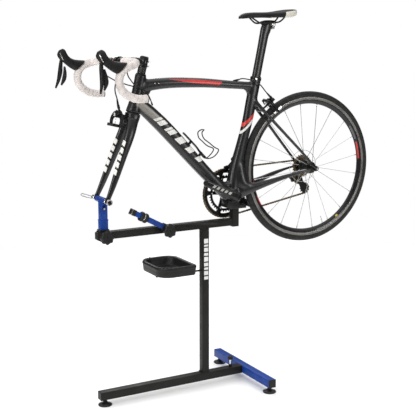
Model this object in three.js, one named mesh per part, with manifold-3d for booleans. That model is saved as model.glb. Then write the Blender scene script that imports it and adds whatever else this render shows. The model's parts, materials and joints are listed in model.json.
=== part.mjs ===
// Road bicycle clamped on a rotating workshop stand.
// Millimetres, +Z up. The bicycle faces -X, its left side is -Y.
// Sizes are taken from the mast's axis; the finished assembly is then moved along X so that
// the origin lies under its middle. The floor is z = 0.
import * as THREE from 'three';
import Module from 'manifold-3d';

const wasm = await Module();
wasm.setup();

const GAP = 0.3; // clearance left between neighbouring pieces
const MIDDLE_X = 149.2; // middle of the assembly's length, from the mast's axis

// ---------------------------------------------------------------- stand
const BASE_TUBE = 35;
const BASE_Z = 26; // underside of the base tubes
const RAIL_FRONT = -493;
const RAIL_REAR = 184;
const CROSSBAR_HALF = 236;
const CAP = 4;
const LOCK_X = 132;
const WALL = 2.5;
const MAST_TUBE = 32;
const BEAM_TUBE = 30;
const BEAM_Z = 702; // underside of the top beam
const BEAM_FRONT = -491;
const BEAM_TOP = BEAM_Z + BEAM_TUBE;
const BEAM_MID_Z = BEAM_Z + BEAM_TUBE / 2;
const POST_X = 148; // upright at the rear of the beam
const CRADLE_Z = 776;
const CRADLE_HALF_WIDTH = 28;
const SWIVEL_RADIUS = 12;
const BOLT_RADIUS = 6;
const FOOT_RADIUS = 28.5;
const FOOT_SPREAD = 213;
const FOOT_FRONT_X = -470;
const CROSSBAR_X = RAIL_REAR + GAP + BASE_TUBE / 2;
const KNOB_RADIUS = 28;
const KNOB_LOBE = 2; // height of the grip lobes
const KNOB_Y = -40; // back face of the hand knobs
const KNOB_THICK = 18;
const HOLDER_X = -466;
const HOLDER_Y = -9;
const HOLDER_HALF = [17, 12]; // fork arm, half width and half depth
const HOLDER_SLEEVE_TOP = 784;
const SLIDER_TOP = BEAM_TOP + 4;
const ARM2_X = -187;
const ARM2_Y = -27; // the folding arm lies beside the beam
const ARM2_HALF = 11;
const ARM2_ANGLE = 28; // degrees above horizontal, pointing forward
const ARM2_LENGTH = 190;
const ARM2_SOCKET = 30;
const ARM2_RISE = 4; // the arm's middle line passes this far above its pivot
const TRAY = { x: -174, y: 4, z: 531, length: 170, width: 224, height: 42, wall: 4 };
const TRAY_CORNERS = [52, 58, 58, 18]; // far right, far left, near left, near right

// -------------------------------------------------------------- bicycle
// Bicycle coordinates: origin at the bottom bracket, +X to the rear.
const BIKE_PITCH = 3.9; // degrees nose down on the stand
const BB = [128, 0, 835];
const REAR_AXLE = [402.4, 0, 67.1];
const FRONT_AXLE = [-590, 0, 67.1];
const CROWN = [-427, 0, 393];
const STEER = new THREE.Vector3(0.302, 0, 0.9533).normalize();
const SEAT_FOOT = [18, 0, 0]; // seatpost axis at the height of the bottom bracket
const SEAT = new THREE.Vector3(0.2785, 0, 0.9604).normalize();
const SEAT_TUBE_TOP = 505; // along the seat tube from the bottom bracket
const POST_BOTTOM = 400;
const POST_HALF = [20.5, 13];
const RAIL_Z = 713;
const TYRE_RADIUS = 336;
const RIM_RADIUS = 311;
const RIM_INNER = 281.2;
const CRANK = 172.5;
const CRANK_ANGLE = 28; // left crank above the forward horizontal
const CRANK_Y = 69;
const PITCH_STEP = 12.7;
const RING_TEETH = 52;
const COG_TEETH = 12;
const PULLEY_TEETH = 11;
const RING_Y = 46;
const COG_Y = 58;
const GUIDE = [395, 0, 7];
const TENSION = [425.5, 0, -41.7];
const CHAIN_HALF = [4, 3.2];
const BAR_CENTRE = [-475, 0, 604];
const BAR_HALF = 209;
const BRIDGE = [177, 0, 343]; // brake bridge between the seatstays
const BRIDGE_AHEAD = new THREE.Vector3(0.84, 0, 0.54).normalize();
const BRAKE_OUT = { front: 64, rear: 56 }; // caliper plane, ahead of the fork crown or bridge
const CROWN_BRAKE = -18; // brake bolt below the crown, along the steering axis
const HOOD_Y = 208;
const BAR_STEPS = 14;
const BAR_END = -458;

const pitchRadius = (teeth) => PITCH_STEP / (2 * Math.sin(Math.PI / teeth));
const radians = (degrees) => (degrees * Math.PI) / 180;
const vec = (p) => new THREE.Vector3(...p);

// ------------------------------------------------------- solid building
// A closed solid from points and triangles; coincident points are merged.
function solidOf(points, faces) {
  const keys = new Map();
  const merged = [];
  const index = points.map((p) => {
    const key = p.map((v) => Math.round(v * 1e4)).join();
    if (!keys.has(key)) {
      keys.set(key, merged.length);
      merged.push(p);
    }
    return keys.get(key);
  });
  let triangles = faces.map((f) => f.map((i) => index[i]));
  triangles = triangles.filter(([a, b, c]) => a !== b && b !== c && a !== c);
  let volume = 0;
  for (const [a, b, c] of triangles) {
    volume += vec(merged[a]).dot(vec(merged[b]).cross(vec(merged[c])));
  }
  if (volume < 0) triangles = triangles.map(([a, b, c]) => [a, c, b]);
  return new wasm.Manifold(new wasm.Mesh({
    numProp: 3,
    vertProperties: new Float32Array(merged.flat()),
    triVerts: new Uint32Array(triangles.flat()),
  }));
}

function solidFromGeometry(geometry) {
  const source = geometry.index ? geometry.toNonIndexed() : geometry;
  const array = source.attributes.position.array;
  const points = [];
  const faces = [];
  for (let i = 0; i < array.length; i += 3) {
    points.push([array[i], array[i + 1], array[i + 2]]);
  }
  for (let i = 0; i < points.length; i += 3) faces.push([i, i + 1, i + 2]);
  return solidOf(points, faces);
}

const union = (solids) => solids.reduce((sum, solid) => sum.add(solid));

// Skin over a row of rings with equally many points; closed by end caps or as a loop.
function loft(rings, loop = false) {
  const n = rings[0].length;
  const faces = [];
  const last = loop ? rings.length : rings.length - 1;
  for (let r = 0; r < last; r += 1) {
    const a = r * n;
    const b = ((r + 1) % rings.length) * n;
    for (let i = 0; i < n; i += 1) {
      const j = (i + 1) % n;
      faces.push([a + i, a + j, b + j], [a + i, b + j, b + i]);
    }
  }
  if (!loop) {
    const end = (rings.length - 1) * n;
    for (let i = 1; i < n - 1; i += 1) {
      faces.push([0, i + 1, i], [end, end + i, end + i + 1]);
    }
  }
  return solidOf(rings.flat(), faces);
}

// Rounded section: half sizes along u and w, power 2 is an ellipse, higher is squarer.
function sectionRing(centre, u, w, half, corners, power) {
  const ring = [];
  for (let i = 0; i < corners; i += 1) {
    const angle = ((i + 0.5) * 2 * Math.PI) / corners;
    const c = Math.cos(angle);
    const s = Math.sin(angle);
    const a = Math.sign(c) * Math.abs(c) ** (2 / power) * half[0];
    const b = Math.sign(s) * Math.abs(s) ** (2 / power) * half[1];
    ring.push(vec(centre).addScaledVector(u, a).addScaledVector(w, b).toArray());
  }
  return ring;
}

// Section carried along a path. half is one size, one pair, or one pair per path point:
// first across the path in its own plane, then along `side`.
function sweep(path, half, options = {}) {
  const { side = [0, 1, 0], corners = 12, power = 2, loop = false } = options;
  const n = path.length;
  const rings = path.map((point, i) => {
    const before = path[loop ? (i + n - 1) % n : Math.max(i - 1, 0)];
    const after = path[loop ? (i + 1) % n : Math.min(i + 1, n - 1)];
    const toHere = vec(point).sub(vec(before)).normalize();
    const onward = vec(after).sub(vec(point)).normalize();
    const tangent = toHere.add(onward).normalize();
    const u = vec(side).cross(tangent).normalize();
    const w = tangent.clone().cross(u).normalize();
    let size = Array.isArray(half) ? half : [half, half];
    if (Array.isArray(size[0])) size = size[i];
    return sectionRing(point, u, w, size, corners, power);
  });
  return loft(rings, loop);
}

const rod = (from, to, radius, corners = 12, side = [0, 1, 0]) => (
  sweep([from, to], radius, { corners, side })
);

function box(x, y, z) {
  const geometry = new THREE.BoxGeometry(x[1] - x[0], y[1] - y[0], z[1] - z[0]);
  geometry.translate((x[0] + x[1]) / 2, (y[0] + y[1]) / 2, (z[0] + z[1]) / 2);
  return solidFromGeometry(geometry);
}

// Straight bar between two points with a rectangular section.
const bar = (from, to, half) => sweep([from, to], half.map((h) => h * Math.SQRT2), { corners: 4 });

// Profile of [radius, y] points turned round the Y axis at `centre`.
function turned(profile, centre, segments = 24) {
  const rings = [];
  for (let i = 0; i < segments; i += 1) {
    const angle = (i * 2 * Math.PI) / segments;
    rings.push(profile.map(([radius, y]) => [
      centre[0] + radius * Math.cos(angle),
      centre[1] + y,
      centre[2] + radius * Math.sin(angle),
    ]));
  }
  return loft(rings, true);
}

// Round disc or pin along Y between two y values.
const disc = (x, z, radius, y, segments = 24) => {
  const ring = (at) => Array.from({ length: segments }, (_, i) => {
    const angle = (i * 2 * Math.PI) / segments;
    return [x + radius * Math.cos(angle), at, z + radius * Math.sin(angle)];
  });
  return loft([ring(y[0]), ring(y[1])]);
};

// Upright round body: rows of [radius, z] from bottom to top.
const upright = (x, y, rows, segments = 20) => loft(rows.map(([radius, z]) => (
  Array.from({ length: segments }, (_, i) => {
    const angle = (i * 2 * Math.PI) / segments;
    return [x + radius * Math.cos(angle), y + radius * Math.sin(angle), z];
  })
)));

// Flat outline of [x, y] points raised from z0 to z1.
function plate(outline, z0, z1) {
  const shape = new THREE.Shape(outline.map((p) => new THREE.Vector2(...p)));
  const geometry = new THREE.ExtrudeGeometry(shape, { depth: z1 - z0, bevelEnabled: false });
  geometry.translate(0, 0, z0);
  return solidFromGeometry(geometry);
}

function roundedOutline(halfX, halfY, radii, steps = 4) {
  const corners = [[1, 1], [-1, 1], [-1, -1], [1, -1]];
  return corners.flatMap(([sx, sy], k) => Array.from({ length: steps + 1 }, (_, i) => {
    const angle = ((k + i / steps) * Math.PI) / 2;
    const r = radii[k];
    return [
      sx * (halfX - r) + r * Math.cos(angle),
      sy * (halfY - r) + r * Math.sin(angle),
    ];
  }));
}

// ------------------------------------------------------ pieces and bodies
const FINISH = {
  blackSteel: [0x1d1c1a, 0.5, 0.3],
  blueSteel: [0x1f3f8f, 0.4, 0.3],
  blackPlastic: [0x181817, 0.6, 0],
  carbon: [0x141414, 0.25, 0.1],
  blackAlloy: [0x202020, 0.35, 0.7],
  silver: [0xb9b9b6, 0.3, 0.9],
  tape: [0xd8cbc2, 0.8, 0],
  rubber: [0x151515, 0.85, 0],
  brass: [0x77643f, 0.4, 0.8],
};

function piece(name, finish, solid) {
  const [color, roughness, metalness] = FINISH[finish];
  const mesh = solid.getMesh();
  const geometry = new THREE.BufferGeometry();
  geometry.setAttribute('position', new THREE.BufferAttribute(mesh.vertProperties, 3));
  geometry.setIndex(new THREE.BufferAttribute(mesh.triVerts, 1));
  const flat = geometry.toNonIndexed();
  flat.computeVertexNormals();
  const material = new THREE.MeshStandardMaterial({ color, roughness, metalness });
  const result = new THREE.Mesh(flat, material);
  result.name = name;
  return result;
}

// Group of pieces that turn or slide together; the group's origin is the pivot.
function body(name, pivot, members) {
  const group = new THREE.Group();
  group.name = name;
  group.position.set(...pivot);
  for (const member of members) {
    member.position.sub(group.position);
    group.add(member);
  }
  return group;
}

// ------------------------------------------------------------ stand parts
function squareTube(x, y, z, openAxis) {
  const inner = [x, y, z].map((range, axis) => (
    axis === openAxis
      ? [range[0] - 1, range[1] + 1]
      : [range[0] + WALL, range[1] - WALL]
  ));
  return box(x, y, z).subtract(box(...inner));
}

function makeBase() {
  const half = BASE_TUBE / 2;
  const top = BASE_Z + BASE_TUBE;
  const zRange = [BASE_Z, top];
  const crossX = [CROSSBAR_X - half, CROSSBAR_X + half];
  const rail = squareTube([RAIL_FRONT, RAIL_REAR], [-half, half], zRange, 0);
  const crossbar = squareTube(crossX, [-CROSSBAR_HALF + CAP, CROSSBAR_HALF - CAP], zRange, 1);
  const cap = (side) => {
    const faceY = [CROSSBAR_HALF - CAP + GAP, CROSSBAR_HALF].map((y) => side * y);
    const plugY = [CROSSBAR_HALF - 18, CROSSBAR_HALF - CAP + 1].map((y) => side * y);
    const inset = WALL + GAP;
    const sorted = (range) => range.sort((a, b) => a - b);
    return box(crossX, sorted(faceY), zRange).add(box(
      [crossX[0] + inset, crossX[1] - inset],
      sorted(plugY),
      [BASE_Z + inset, top - inset],
    ));
  };
  const mastHalf = MAST_TUBE / 2;
  const mast = squareTube([-mastHalf, mastHalf], [-mastHalf, mastHalf], [top + GAP, BEAM_Z - 10], 2);
  return [
    piece('base_rail', 'blackSteel', rail),
    piece('base_crossbar', 'blueSteel', crossbar),
    piece('crossbar_cap_left', 'blackPlastic', cap(-1)),
    piece('crossbar_cap_right', 'blackPlastic', cap(1)),
    piece('mast', 'blackSteel', mast),
  ];
}

function makeFoot(name, x, y) {
  const rows = [[FOOT_RADIUS, 0], [FOOT_RADIUS, 4], [11, 14], [8, BASE_Z - GAP]];
  return body(`${name}_turn`, [x, y, 0], [piece(name, 'rubber', upright(x, y, rows, 16))]);
}

function makeBaseLockKnob() {
  const x = LOCK_X;
  const z = BASE_Z + BASE_TUBE + GAP;
  const shaft = upright(x, 0, [[8, z], [8, z + 10], [4, z + 12], [4, z + 34]], 12);
  const head = upright(x, 0, [[10, z + 32], [13, z + 35], [13, z + 44], [10, z + 48]], 12);
  return body('base_lock_turn', [x, 0, z], [piece('base_lock_knob', 'silver', shaft.add(head))]);
}

function makeBeam() {
  const half = BEAM_TUBE / 2;
  const postX = [POST_X - half, POST_X + half];
  const beam = squareTube([BEAM_FRONT, postX[0] + 1], [-half, half], [BEAM_Z, BEAM_TOP], 0);
  const post = squareTube(postX, [-half, half], [BEAM_Z - 6, CRADLE_Z], 2);
  const wall = box([postX[0], postX[0] + WALL], [-half, half], [BEAM_Z, BEAM_TOP]);
  const swivel = upright(0, 0, [[SWIVEL_RADIUS, BEAM_Z - 60], [SWIVEL_RADIUS, BEAM_Z + 1]], 24);
  const collar = upright(0, 0, [[half + 1, BEAM_Z - 10 + GAP], [half + 1, BEAM_Z + 1]], 24);
  const slider = box([HOLDER_X - 19, HOLDER_X + 19], [KNOB_Y + 10, half + 3], [BEAM_Z - 4, SLIDER_TOP]);
  const hub = disc(HOLDER_X, BEAM_MID_Z, 17, [KNOB_Y + GAP, KNOB_Y + 11], 20);
  const bolts = [HOLDER_X, ARM2_X].map((x) => (
    disc(x, BEAM_MID_Z, BOLT_RADIUS + GAP, [KNOB_Y - 1, half + 4], 12)
  ));
  const inside = box([BEAM_FRONT - 1, postX[0]], [WALL - half, half - WALL], [BEAM_Z + WALL, BEAM_TOP - WALL]);
  const steel = union([beam, post, wall, swivel, collar, slider.subtract(inside), hub]);
  const plateX = [118, 192];
  const wide = [-CRADLE_HALF_WIDTH, CRADLE_HALF_WIDTH];
  const cradlePlate = box(plateX, wide, [CRADLE_Z + GAP, CRADLE_Z + 12]);
  const cradleBlock = box([100, 156], wide, [CRADLE_Z + 6, CRADLE_Z + 44]);
  const cradle = cradlePlate.add(cradleBlock)
    .subtract(disc(BB[0], BB[2], SHELL_RADIUS + GAP, [-40, 40], 32))
    .subtract(onStand(downTube(GAP)))
    .subtract(onStand(seatTube(GAP)))
    .subtract(onStand(box([14, 70], [-40, 40], [-12, 20])));
  return [
    piece('top_beam', 'blackSteel', steel.subtract(union(bolts))),
    piece('bb_cradle', 'rubber', cradle),
  ];
}

// Lobed hand knob with its bolt through the beam.
function makeKnob(name, x) {
  const lobes = 8;
  const outline = Array.from({ length: lobes * 2 }, (_, i) => {
    const angle = (i * Math.PI) / lobes;
    const radius = KNOB_RADIUS + KNOB_LOBE * Math.cos(lobes * angle);
    return [radius, angle];
  });
  const ring = (y, scale) => outline.map(([radius, angle]) => [
    x + radius * scale * Math.cos(angle), y, BEAM_MID_Z + radius * scale * Math.sin(angle),
  ]);
  const front = KNOB_Y - KNOB_THICK;
  const grip = loft([ring(front, 0.8), ring(front + 4, 1), ring(KNOB_Y - 3, 1), ring(KNOB_Y, 0.85)]);
  const bolt = disc(x, BEAM_MID_Z, BOLT_RADIUS, [KNOB_Y - 1, BEAM_TUBE / 2 + 7], 12);
  return body(`${name}_turn`, [x, 0, BEAM_MID_Z], [piece(name, 'blackPlastic', grip.add(bolt))]);
}

function makeForkHolder() {
  const axle = bikeToStand(FRONT_AXLE);
  const [halfX, halfY] = HOLDER_HALF;
  const sleeve = box(
    [HOLDER_X - halfX, HOLDER_X + halfX],
    [HOLDER_Y - halfY, HOLDER_Y + halfY],
    [SLIDER_TOP + GAP, HOLDER_SLEEVE_TOP],
  );
  const slim = box(
    [HOLDER_X - halfX + 1.5, HOLDER_X + halfX - 1.5],
    [HOLDER_Y - halfY + 1.5, HOLDER_Y + halfY - 1.5],
    [HOLDER_SLEEVE_TOP + GAP, axle[2]],
  );
  const head = disc(axle[0], axle[2], 12.5, [-34, 49.6], 20);
  const bore = disc(axle[0], axle[2], 5.2, [-60, 60], 14);
  const recess = box([axle[0] - 6, axle[0] + 8], [-40, HOLDER_Y], [axle[2] - 40, axle[2] - 18]);
  const post = slim.add(head).subtract(bore).subtract(recess);
  const nut = disc(axle[0], axle[2], 11, [-78, -63.5], 14);
  const spacer = disc(axle[0], axle[2], 10, [-48, -34.5], 14);
  const pin = disc(axle[0], axle[2], 4.6, [-64, 70], 14);
  const cam = disc(axle[0], axle[2], 11, [63.5, 88], 14);
  const slot = box([axle[0] - 14, axle[0] + 12], [70, 90], [axle[2] - 7.5, axle[2] + 7.5]);
  const skewer = union([nut, spacer, pin, cam]).subtract(slot);
  const eyeY = 79;
  const eye = upright(axle[0], eyeY, [[5, axle[2] - 5.8], [5, axle[2] + 5.8]], 14);
  const loop = (dz) => sweep([
    [axle[0] - 3, eyeY, axle[2] + dz * 0.5],
    [axle[0] - 22, eyeY + 3, axle[2] + 3 + dz],
    [axle[0] - 46, eyeY + 5, axle[2] + 11 + dz],
    [axle[0] - 54, eyeY + 5, axle[2] + 14],
  ], 1.6, { corners: 6 });
  const lever = union([eye, loop(5), loop(-5)]);
  return {
    fixed: [
      piece('fork_arm_sleeve', 'blueSteel', sleeve),
      piece('fork_arm_head', 'blueSteel', post),
      piece('fork_skewer', 'silver', skewer),
    ],
    lever: body('fork_lever_turn', [axle[0], eyeY, axle[2]], [
      piece('fork_skewer_lever', 'silver', lever),
    ]),
  };
}

// Folding arm, built upright on its pivot and tipped forward.
function makeSecondArm() {
  const block = (from, to, half) => (
    box([ARM2_RISE - half, ARM2_RISE + half], [ARM2_Y - half, ARM2_Y + half], [from, to])
  );
  const place = (solid) => solid.rotate([0, ARM2_ANGLE - 90, 0]).translate([ARM2_X, 0, BEAM_MID_Z]);
  const round = (from, to, radius) => upright(ARM2_RISE, ARM2_Y, [
    [radius * 0.85, from], [radius, from + 3], [radius, to - 3], [radius * 0.85, to],
  ], 14);
  const socket = box([-11, 19], [ARM2_Y - 12, ARM2_Y + 11.4], [0, ARM2_SOCKET])
    .add(disc(0, 0, 17, [ARM2_Y - 12, ARM2_Y + 11.4], 20))
    .subtract(disc(0, 0, BOLT_RADIUS + GAP, [ARM2_Y - 20, ARM2_Y + 20], 12));
  const tube = block(ARM2_SOCKET + GAP, ARM2_LENGTH - 20, ARM2_HALF);
  const ringGap = 127.5;
  const rings = round(ringGap - 18, ringGap - 1.5, 20)
    .add(round(ringGap + 1.5, ringGap + 17, 20))
    .add(block(ringGap - 4, ringGap + 4, 15))
    .subtract(block(ringGap - 30, ringGap + 30, ARM2_HALF + GAP));
  const tip = block(ARM2_LENGTH - 20 + GAP, ARM2_LENGTH, ARM2_HALF + 1.5);
  return body('second_arm_hinge', [ARM2_X, 0, BEAM_MID_Z], [
    piece('second_arm_socket', 'blackPlastic', place(socket)),
    piece('second_arm', 'blueSteel', place(tube)),
    piece('second_arm_rings', 'blackPlastic', place(rings)),
    piece('second_arm_tip', 'blackPlastic', place(tip)),
  ]);
}

function makeTray() {
  const { x, y, z, length, width, height, wall } = TRAY;
  const halfX = length / 2;
  const halfY = width / 2;
  const outer = plate(roundedOutline(halfX, halfY, TRAY_CORNERS), 0, height);
  const corners = (by) => TRAY_CORNERS.map((r) => r - by);
  const inner = plate(roundedOutline(halfX - 14, halfY - 14, corners(8)), wall, height + 1);
  const recess = plate(roundedOutline(halfX - wall, halfY - wall, corners(3)), -1, height - wall);
  const well = plate(roundedOutline(halfX - 10, halfY - 10, corners(5)), -2, height);
  const shell = outer.subtract(recess.subtract(well)).subtract(inner);
  const rodZ = -13;
  const support = rod([-50, -y, rodZ], [-x - MAST_TUBE / 2 - GAP, -y, rodZ], 4, 10)
    .add(upright(-50, -y, [[7, rodZ - 4], [7, wall - 1]], 12));
  return piece('tool_tray', 'blackPlastic', shell.add(support).translate([x, y, z]));
}

// ----------------------------------------------------------- frame tubes
const SHELL_RADIUS = 25;
const SHELL_HALF = 34;
const grown = (sizes, by) => sizes.map((pair) => pair.map((v) => v + by));

const along = (start, direction, distance) => (
  vec(start).addScaledVector(direction, distance).toArray()
);

function bikeToStand(point) {
  const tilt = new THREE.Euler(0, -radians(BIKE_PITCH), 0);
  return vec(point).applyEuler(tilt).add(vec(BB)).toArray();
}

const downTube = (by = 0) => sweep(
  [[-400, 0, 434], [-349, 0, 384], [-111, 0, 107], [-13, 0, -5]],
  grown([[27, 18], [30, 20], [27, 23], [24, 31]], by),
  { corners: 12, power: 3 },
);

const topTube = () => sweep(
  [[-384, 0, 497], [-318, 0, 502], [-130, 0, 490], [60, 0, 463], [140, 0, 452]],
  [[31, 17], [24, 19], [20, 19], [17, 16], [17, 14]],
  { corners: 12, power: 2.6 },
);

const seatTube = (by = 0) => sweep(
  [along(SEAT_FOOT, SEAT, SEAT_TUBE_TOP), [133, 0, 402], [103, 0, 300], [67, 0, 200], [36, 0, 110], [8, 0, 10]],
  grown([[24, 16.5], [25, 17], [23, 18], [24, 19], [29, 23], [30, 31]], by),
  { corners: 12, power: 2.6 },
);

const bbShell = (by = 0) => disc(0, 0, SHELL_RADIUS + by, [-SHELL_HALF - by, SHELL_HALF + by], 20);

const headTube = (by = 0) => sweep(
  [4, 50, 120, 160].map((d) => along(CROWN, STEER, d)),
  grown([[33, 24], [26, 21], [23, 19], [24, 20]], by),
  { corners: 14 },
);

const steerer = (by = 0) => rod(along(CROWN, STEER, -10), along(CROWN, STEER, 222), 14 + by, 12);

const onStand = (solid) => solid.rotate([0, -BIKE_PITCH, 0]).translate(BB);

const tyreRoom = (by) => disc(REAR_AXLE[0], REAR_AXLE[2], TYRE_RADIUS + by, [-18, 18], 48);

function makeFrame() {
  const spindle = disc(0, 0, 12.6, [-60, 60], 14);
  const postBore = sweep(
    [along(SEAT_FOOT, SEAT, POST_BOTTOM - 45), along(SEAT_FOOT, SEAT, SEAT_TUBE_TOP + 5)],
    POST_HALF.map((v) => v + 0.5),
    { corners: 12 },
  );
  const shell = union([headTube(), topTube(), downTube(), seatTube(), bbShell()]);
  return shell.subtract(spindle).subtract(postBore).subtract(steerer(0.4)).subtract(tyreRoom(5));
}

function makeStays() {
  const side = (s) => {
    const chainstay = sweep(
      [
        [30, s * 21, 4], [62, s * 28, 12], [110, s * 34, 22], [190, s * 43, 37],
        [260, s * 53, 50], [350, s * 67, 62], [398, s * 70, 67],
      ],
      [[24, 10], [22, 8], [19, 8], [14, 8], [12, 7], [9, 5], [10, 4]],
      { corners: 8 },
    );
    const seatstay = sweep(
      [[120, s * 10, 410], [160, s * 20, 362], [250, s * 40, 254], [340, s * 60, 146], [398, s * 70, 74]],
      [[13, 7], [10, 7], [8, 6.5], [8, 6], [9, 4]],
      { corners: 8 },
    );
    const dropout = disc(REAR_AXLE[0], REAR_AXLE[2], 15, [65.3, 72].map((y) => s * y).sort((a, b) => a - b), 20);
    return union([chainstay, seatstay, dropout]);
  };
  const yoke = box([20, 57], [-26, 26], [-8, 14]);
  const wishbone = box([132, 156], [-15, 15], [378, 402]);
  const bridge = rod([BRIDGE[0], -26, BRIDGE[2]], [BRIDGE[0], 26, BRIDGE[2]], 7, 10, [1, 0, 0]);
  const bolt = rod(BRIDGE, along(BRIDGE, BRIDGE_AHEAD, BRAKE_OUT.rear + 16), 4.5, 10);
  const axleHole = disc(REAR_AXLE[0], REAR_AXLE[2], 3.4, [-80, 80], 16);
  const spindle = disc(0, 0, SHELL_RADIUS + GAP, [-60, 60], 32);
  return union([side(-1), side(1), yoke, wishbone, bridge]).subtract(tyreRoom(4)).add(bolt)
    .subtract(seatTube(GAP)).subtract(downTube(GAP)).subtract(bbShell(GAP))
    .subtract(spindle).subtract(axleHole)
    .subtract(disc(REAR_AXLE[0], REAR_AXLE[2], 19, [72.1, 95], 16))
    .subtract(disc(REAR_AXLE[0], REAR_AXLE[2], 19, [-95, -72.1], 16));
}

function makeFork() {
  const crown = sweep(
    [along(CROWN, STEER, -42), along(CROWN, STEER, -20), along(CROWN, STEER, 3)],
    [[25, 26], [29, 27], [32, 24]],
    { corners: 14, power: 2.4 },
  );
  const blade = (s) => sweep(
    [[-438, s * 20, 372], [-457, s * 33, 330], [-506, s * 45, 235], [-563, s * 53, 120], [-587, s * 56, 72], [-590, s * 56, 58]],
    [[25, 12], [22, 12], [18, 10], [12.5, 7], [10, 5.5], [7, 5]],
    { corners: 8 },
  );
  const forward = vec([-STEER.z, 0, STEER.x]);
  const boltRoot = along(CROWN, STEER, CROWN_BRAKE);
  const bolt = rod(along(boltRoot, forward, 20), along(boltRoot, forward, BRAKE_OUT.front + 16), 4.5, 10);
  const skewerHole = disc(FRONT_AXLE[0], FRONT_AXLE[2], 5, [-80, 80], 16);
  return union([crown, blade(-1), blade(1), steerer(), bolt]).subtract(skewerHole);
}

// ------------------------------------------------------------- front end
function makeStem() {
  const spacers = rod(along(CROWN, STEER, 161), along(CROWN, STEER, 188), 17, 16);
  const clamp = rod(along(CROWN, STEER, 187), along(CROWN, STEER, 226), 17.5, 16);
  const neck = sweep([along(CROWN, STEER, 206), [-460, 0, 604]], [[15, 14], [15, 17]], { power: 3 });
  const face = disc(BAR_CENTRE[0], BAR_CENTRE[2], 21, [-22, 22], 18);
  const barHole = disc(BAR_CENTRE[0], BAR_CENTRE[2], 16.3, [-30, 30], 18);
  return union([spacers, clamp, neck, face]).subtract(barHole).subtract(steerer(0.4));
}

function barPath(s) {
  return [
    [-475, s * 46, 604], [-475, s * 120, 604], [-479, s * 172, 603], [-494, s * 200, 600],
    [-520, s * BAR_HALF, 594], [-549, s * BAR_HALF, 580], [-565, s * BAR_HALF, 553],
    [-563, s * BAR_HALF, 520], [-540, s * BAR_HALF, 491], [-504, s * BAR_HALF, 473],
    [BAR_END, s * BAR_HALF, 468],
  ];
}

// Sweep of round section whose frame follows bends out of one plane.
function roundSweep(path, radius, corners = 12) {
  const curve = new THREE.CatmullRomCurve3(path.map(vec));
  const shape = new THREE.Shape();
  for (let i = 0; i < corners; i += 1) {
    const angle = (i * 2 * Math.PI) / corners;
    const point = [radius * Math.cos(angle), radius * Math.sin(angle)];
    if (i === 0) shape.moveTo(...point);
    else shape.lineTo(...point);
  }
  return (steps) => solidFromGeometry(new THREE.ExtrudeGeometry(shape, {
    steps, bevelEnabled: false, extrudePath: curve,
  }));
}

function makeHandlebar() {
  const half = (s) => roundSweep([BAR_CENTRE, ...barPath(s)], 11.9, 8)(BAR_STEPS);
  const centre = disc(BAR_CENTRE[0], BAR_CENTRE[2], 15.9, [-40, 40], 18);
  const trim = box([BAR_END - GAP, BAR_END + 5], [-250, 250], [440, 500]);
  return union([half(-1), half(1), centre]).subtract(trim);
}

const tapeOuter = (s, by = 0) => (
  roundSweep([...barPath(s), [BAR_END + 5, s * BAR_HALF, 467.6]], 16 + by, 10)(BAR_STEPS)
);

function makeTape(s) {
  const bore = roundSweep([BAR_CENTRE, ...barPath(s)], 12.3, 8)(BAR_STEPS);
  return tapeOuter(s).subtract(bore);
}

// Rubber hood: rings across it from the bar cuff to the horn, as lower and upper
// points in side view, half width, and how far the ring leans towards the middle.
function makeHood(s) {
  const rows = [
    [[-574, 571], [-530, 609], 20.5, 0],
    [[-592, 582], [-556, 613], 19.5, 0],
    [[-609, 596], [-579, 618], 17.5, 1],
    [[-623, 609], [-596, 628], 16.5, 3],
    [[-639, 624], [-606, 642], 16.5, 5],
    [[-646, 640], [-613, 657], 14.5, 7],
    [[-639, 656], [-622, 663], 8.5, 8],
  ];
  const rings = rows.map(([low, high, halfY, lean]) => {
    const across = vec([high[0] - low[0], 0, high[1] - low[1]]);
    const centre = [(low[0] + high[0]) / 2, s * (HOOD_Y - lean), (low[1] + high[1]) / 2];
    const half = across.length() / 2;
    return sectionRing(centre, across.normalize(), vec([0, 1, 0]), [half, halfY], 12, 2.5);
  });
  const y = s * (HOOD_Y - 2);
  const slot = box([-680, -617], [y - 8, y + 8], [560, 631]);
  return loft(rings).subtract(tapeOuter(s, GAP)).subtract(slot);
}

const LEVER_PIVOT = [-628, 0, 621];

function makeLever(s) {
  const y = s * (HOOD_Y - 2);
  const eye = disc(LEVER_PIVOT[0], LEVER_PIVOT[2], 6, [y - 6, y + 6], 12);
  const blade = sweep(
    [
      [-629, y, 620], [-634, y + s * 4, 592], [-636, y + s * 12, 566],
      [-643, y + s * 20, 535], [-654, y + s * 28, 506],
    ],
    [[6, 6], [8, 7], [9, 9], [6.5, 8], [3, 5]],
    { corners: 8 },
  );
  return eye.add(blade);
}

function makePaddle(s) {
  const y = s * (HOOD_Y - 4);
  return sweep(
    [[-619.5, y, 590], [-618.5, y + s * 5, 566], [-621, y + s * 12, 543], [-633, y + s * 18, 518]],
    [[3.5, 5], [7, 6], [8.5, 6], [3.5, 5]],
    { corners: 8 },
  );
}

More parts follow.
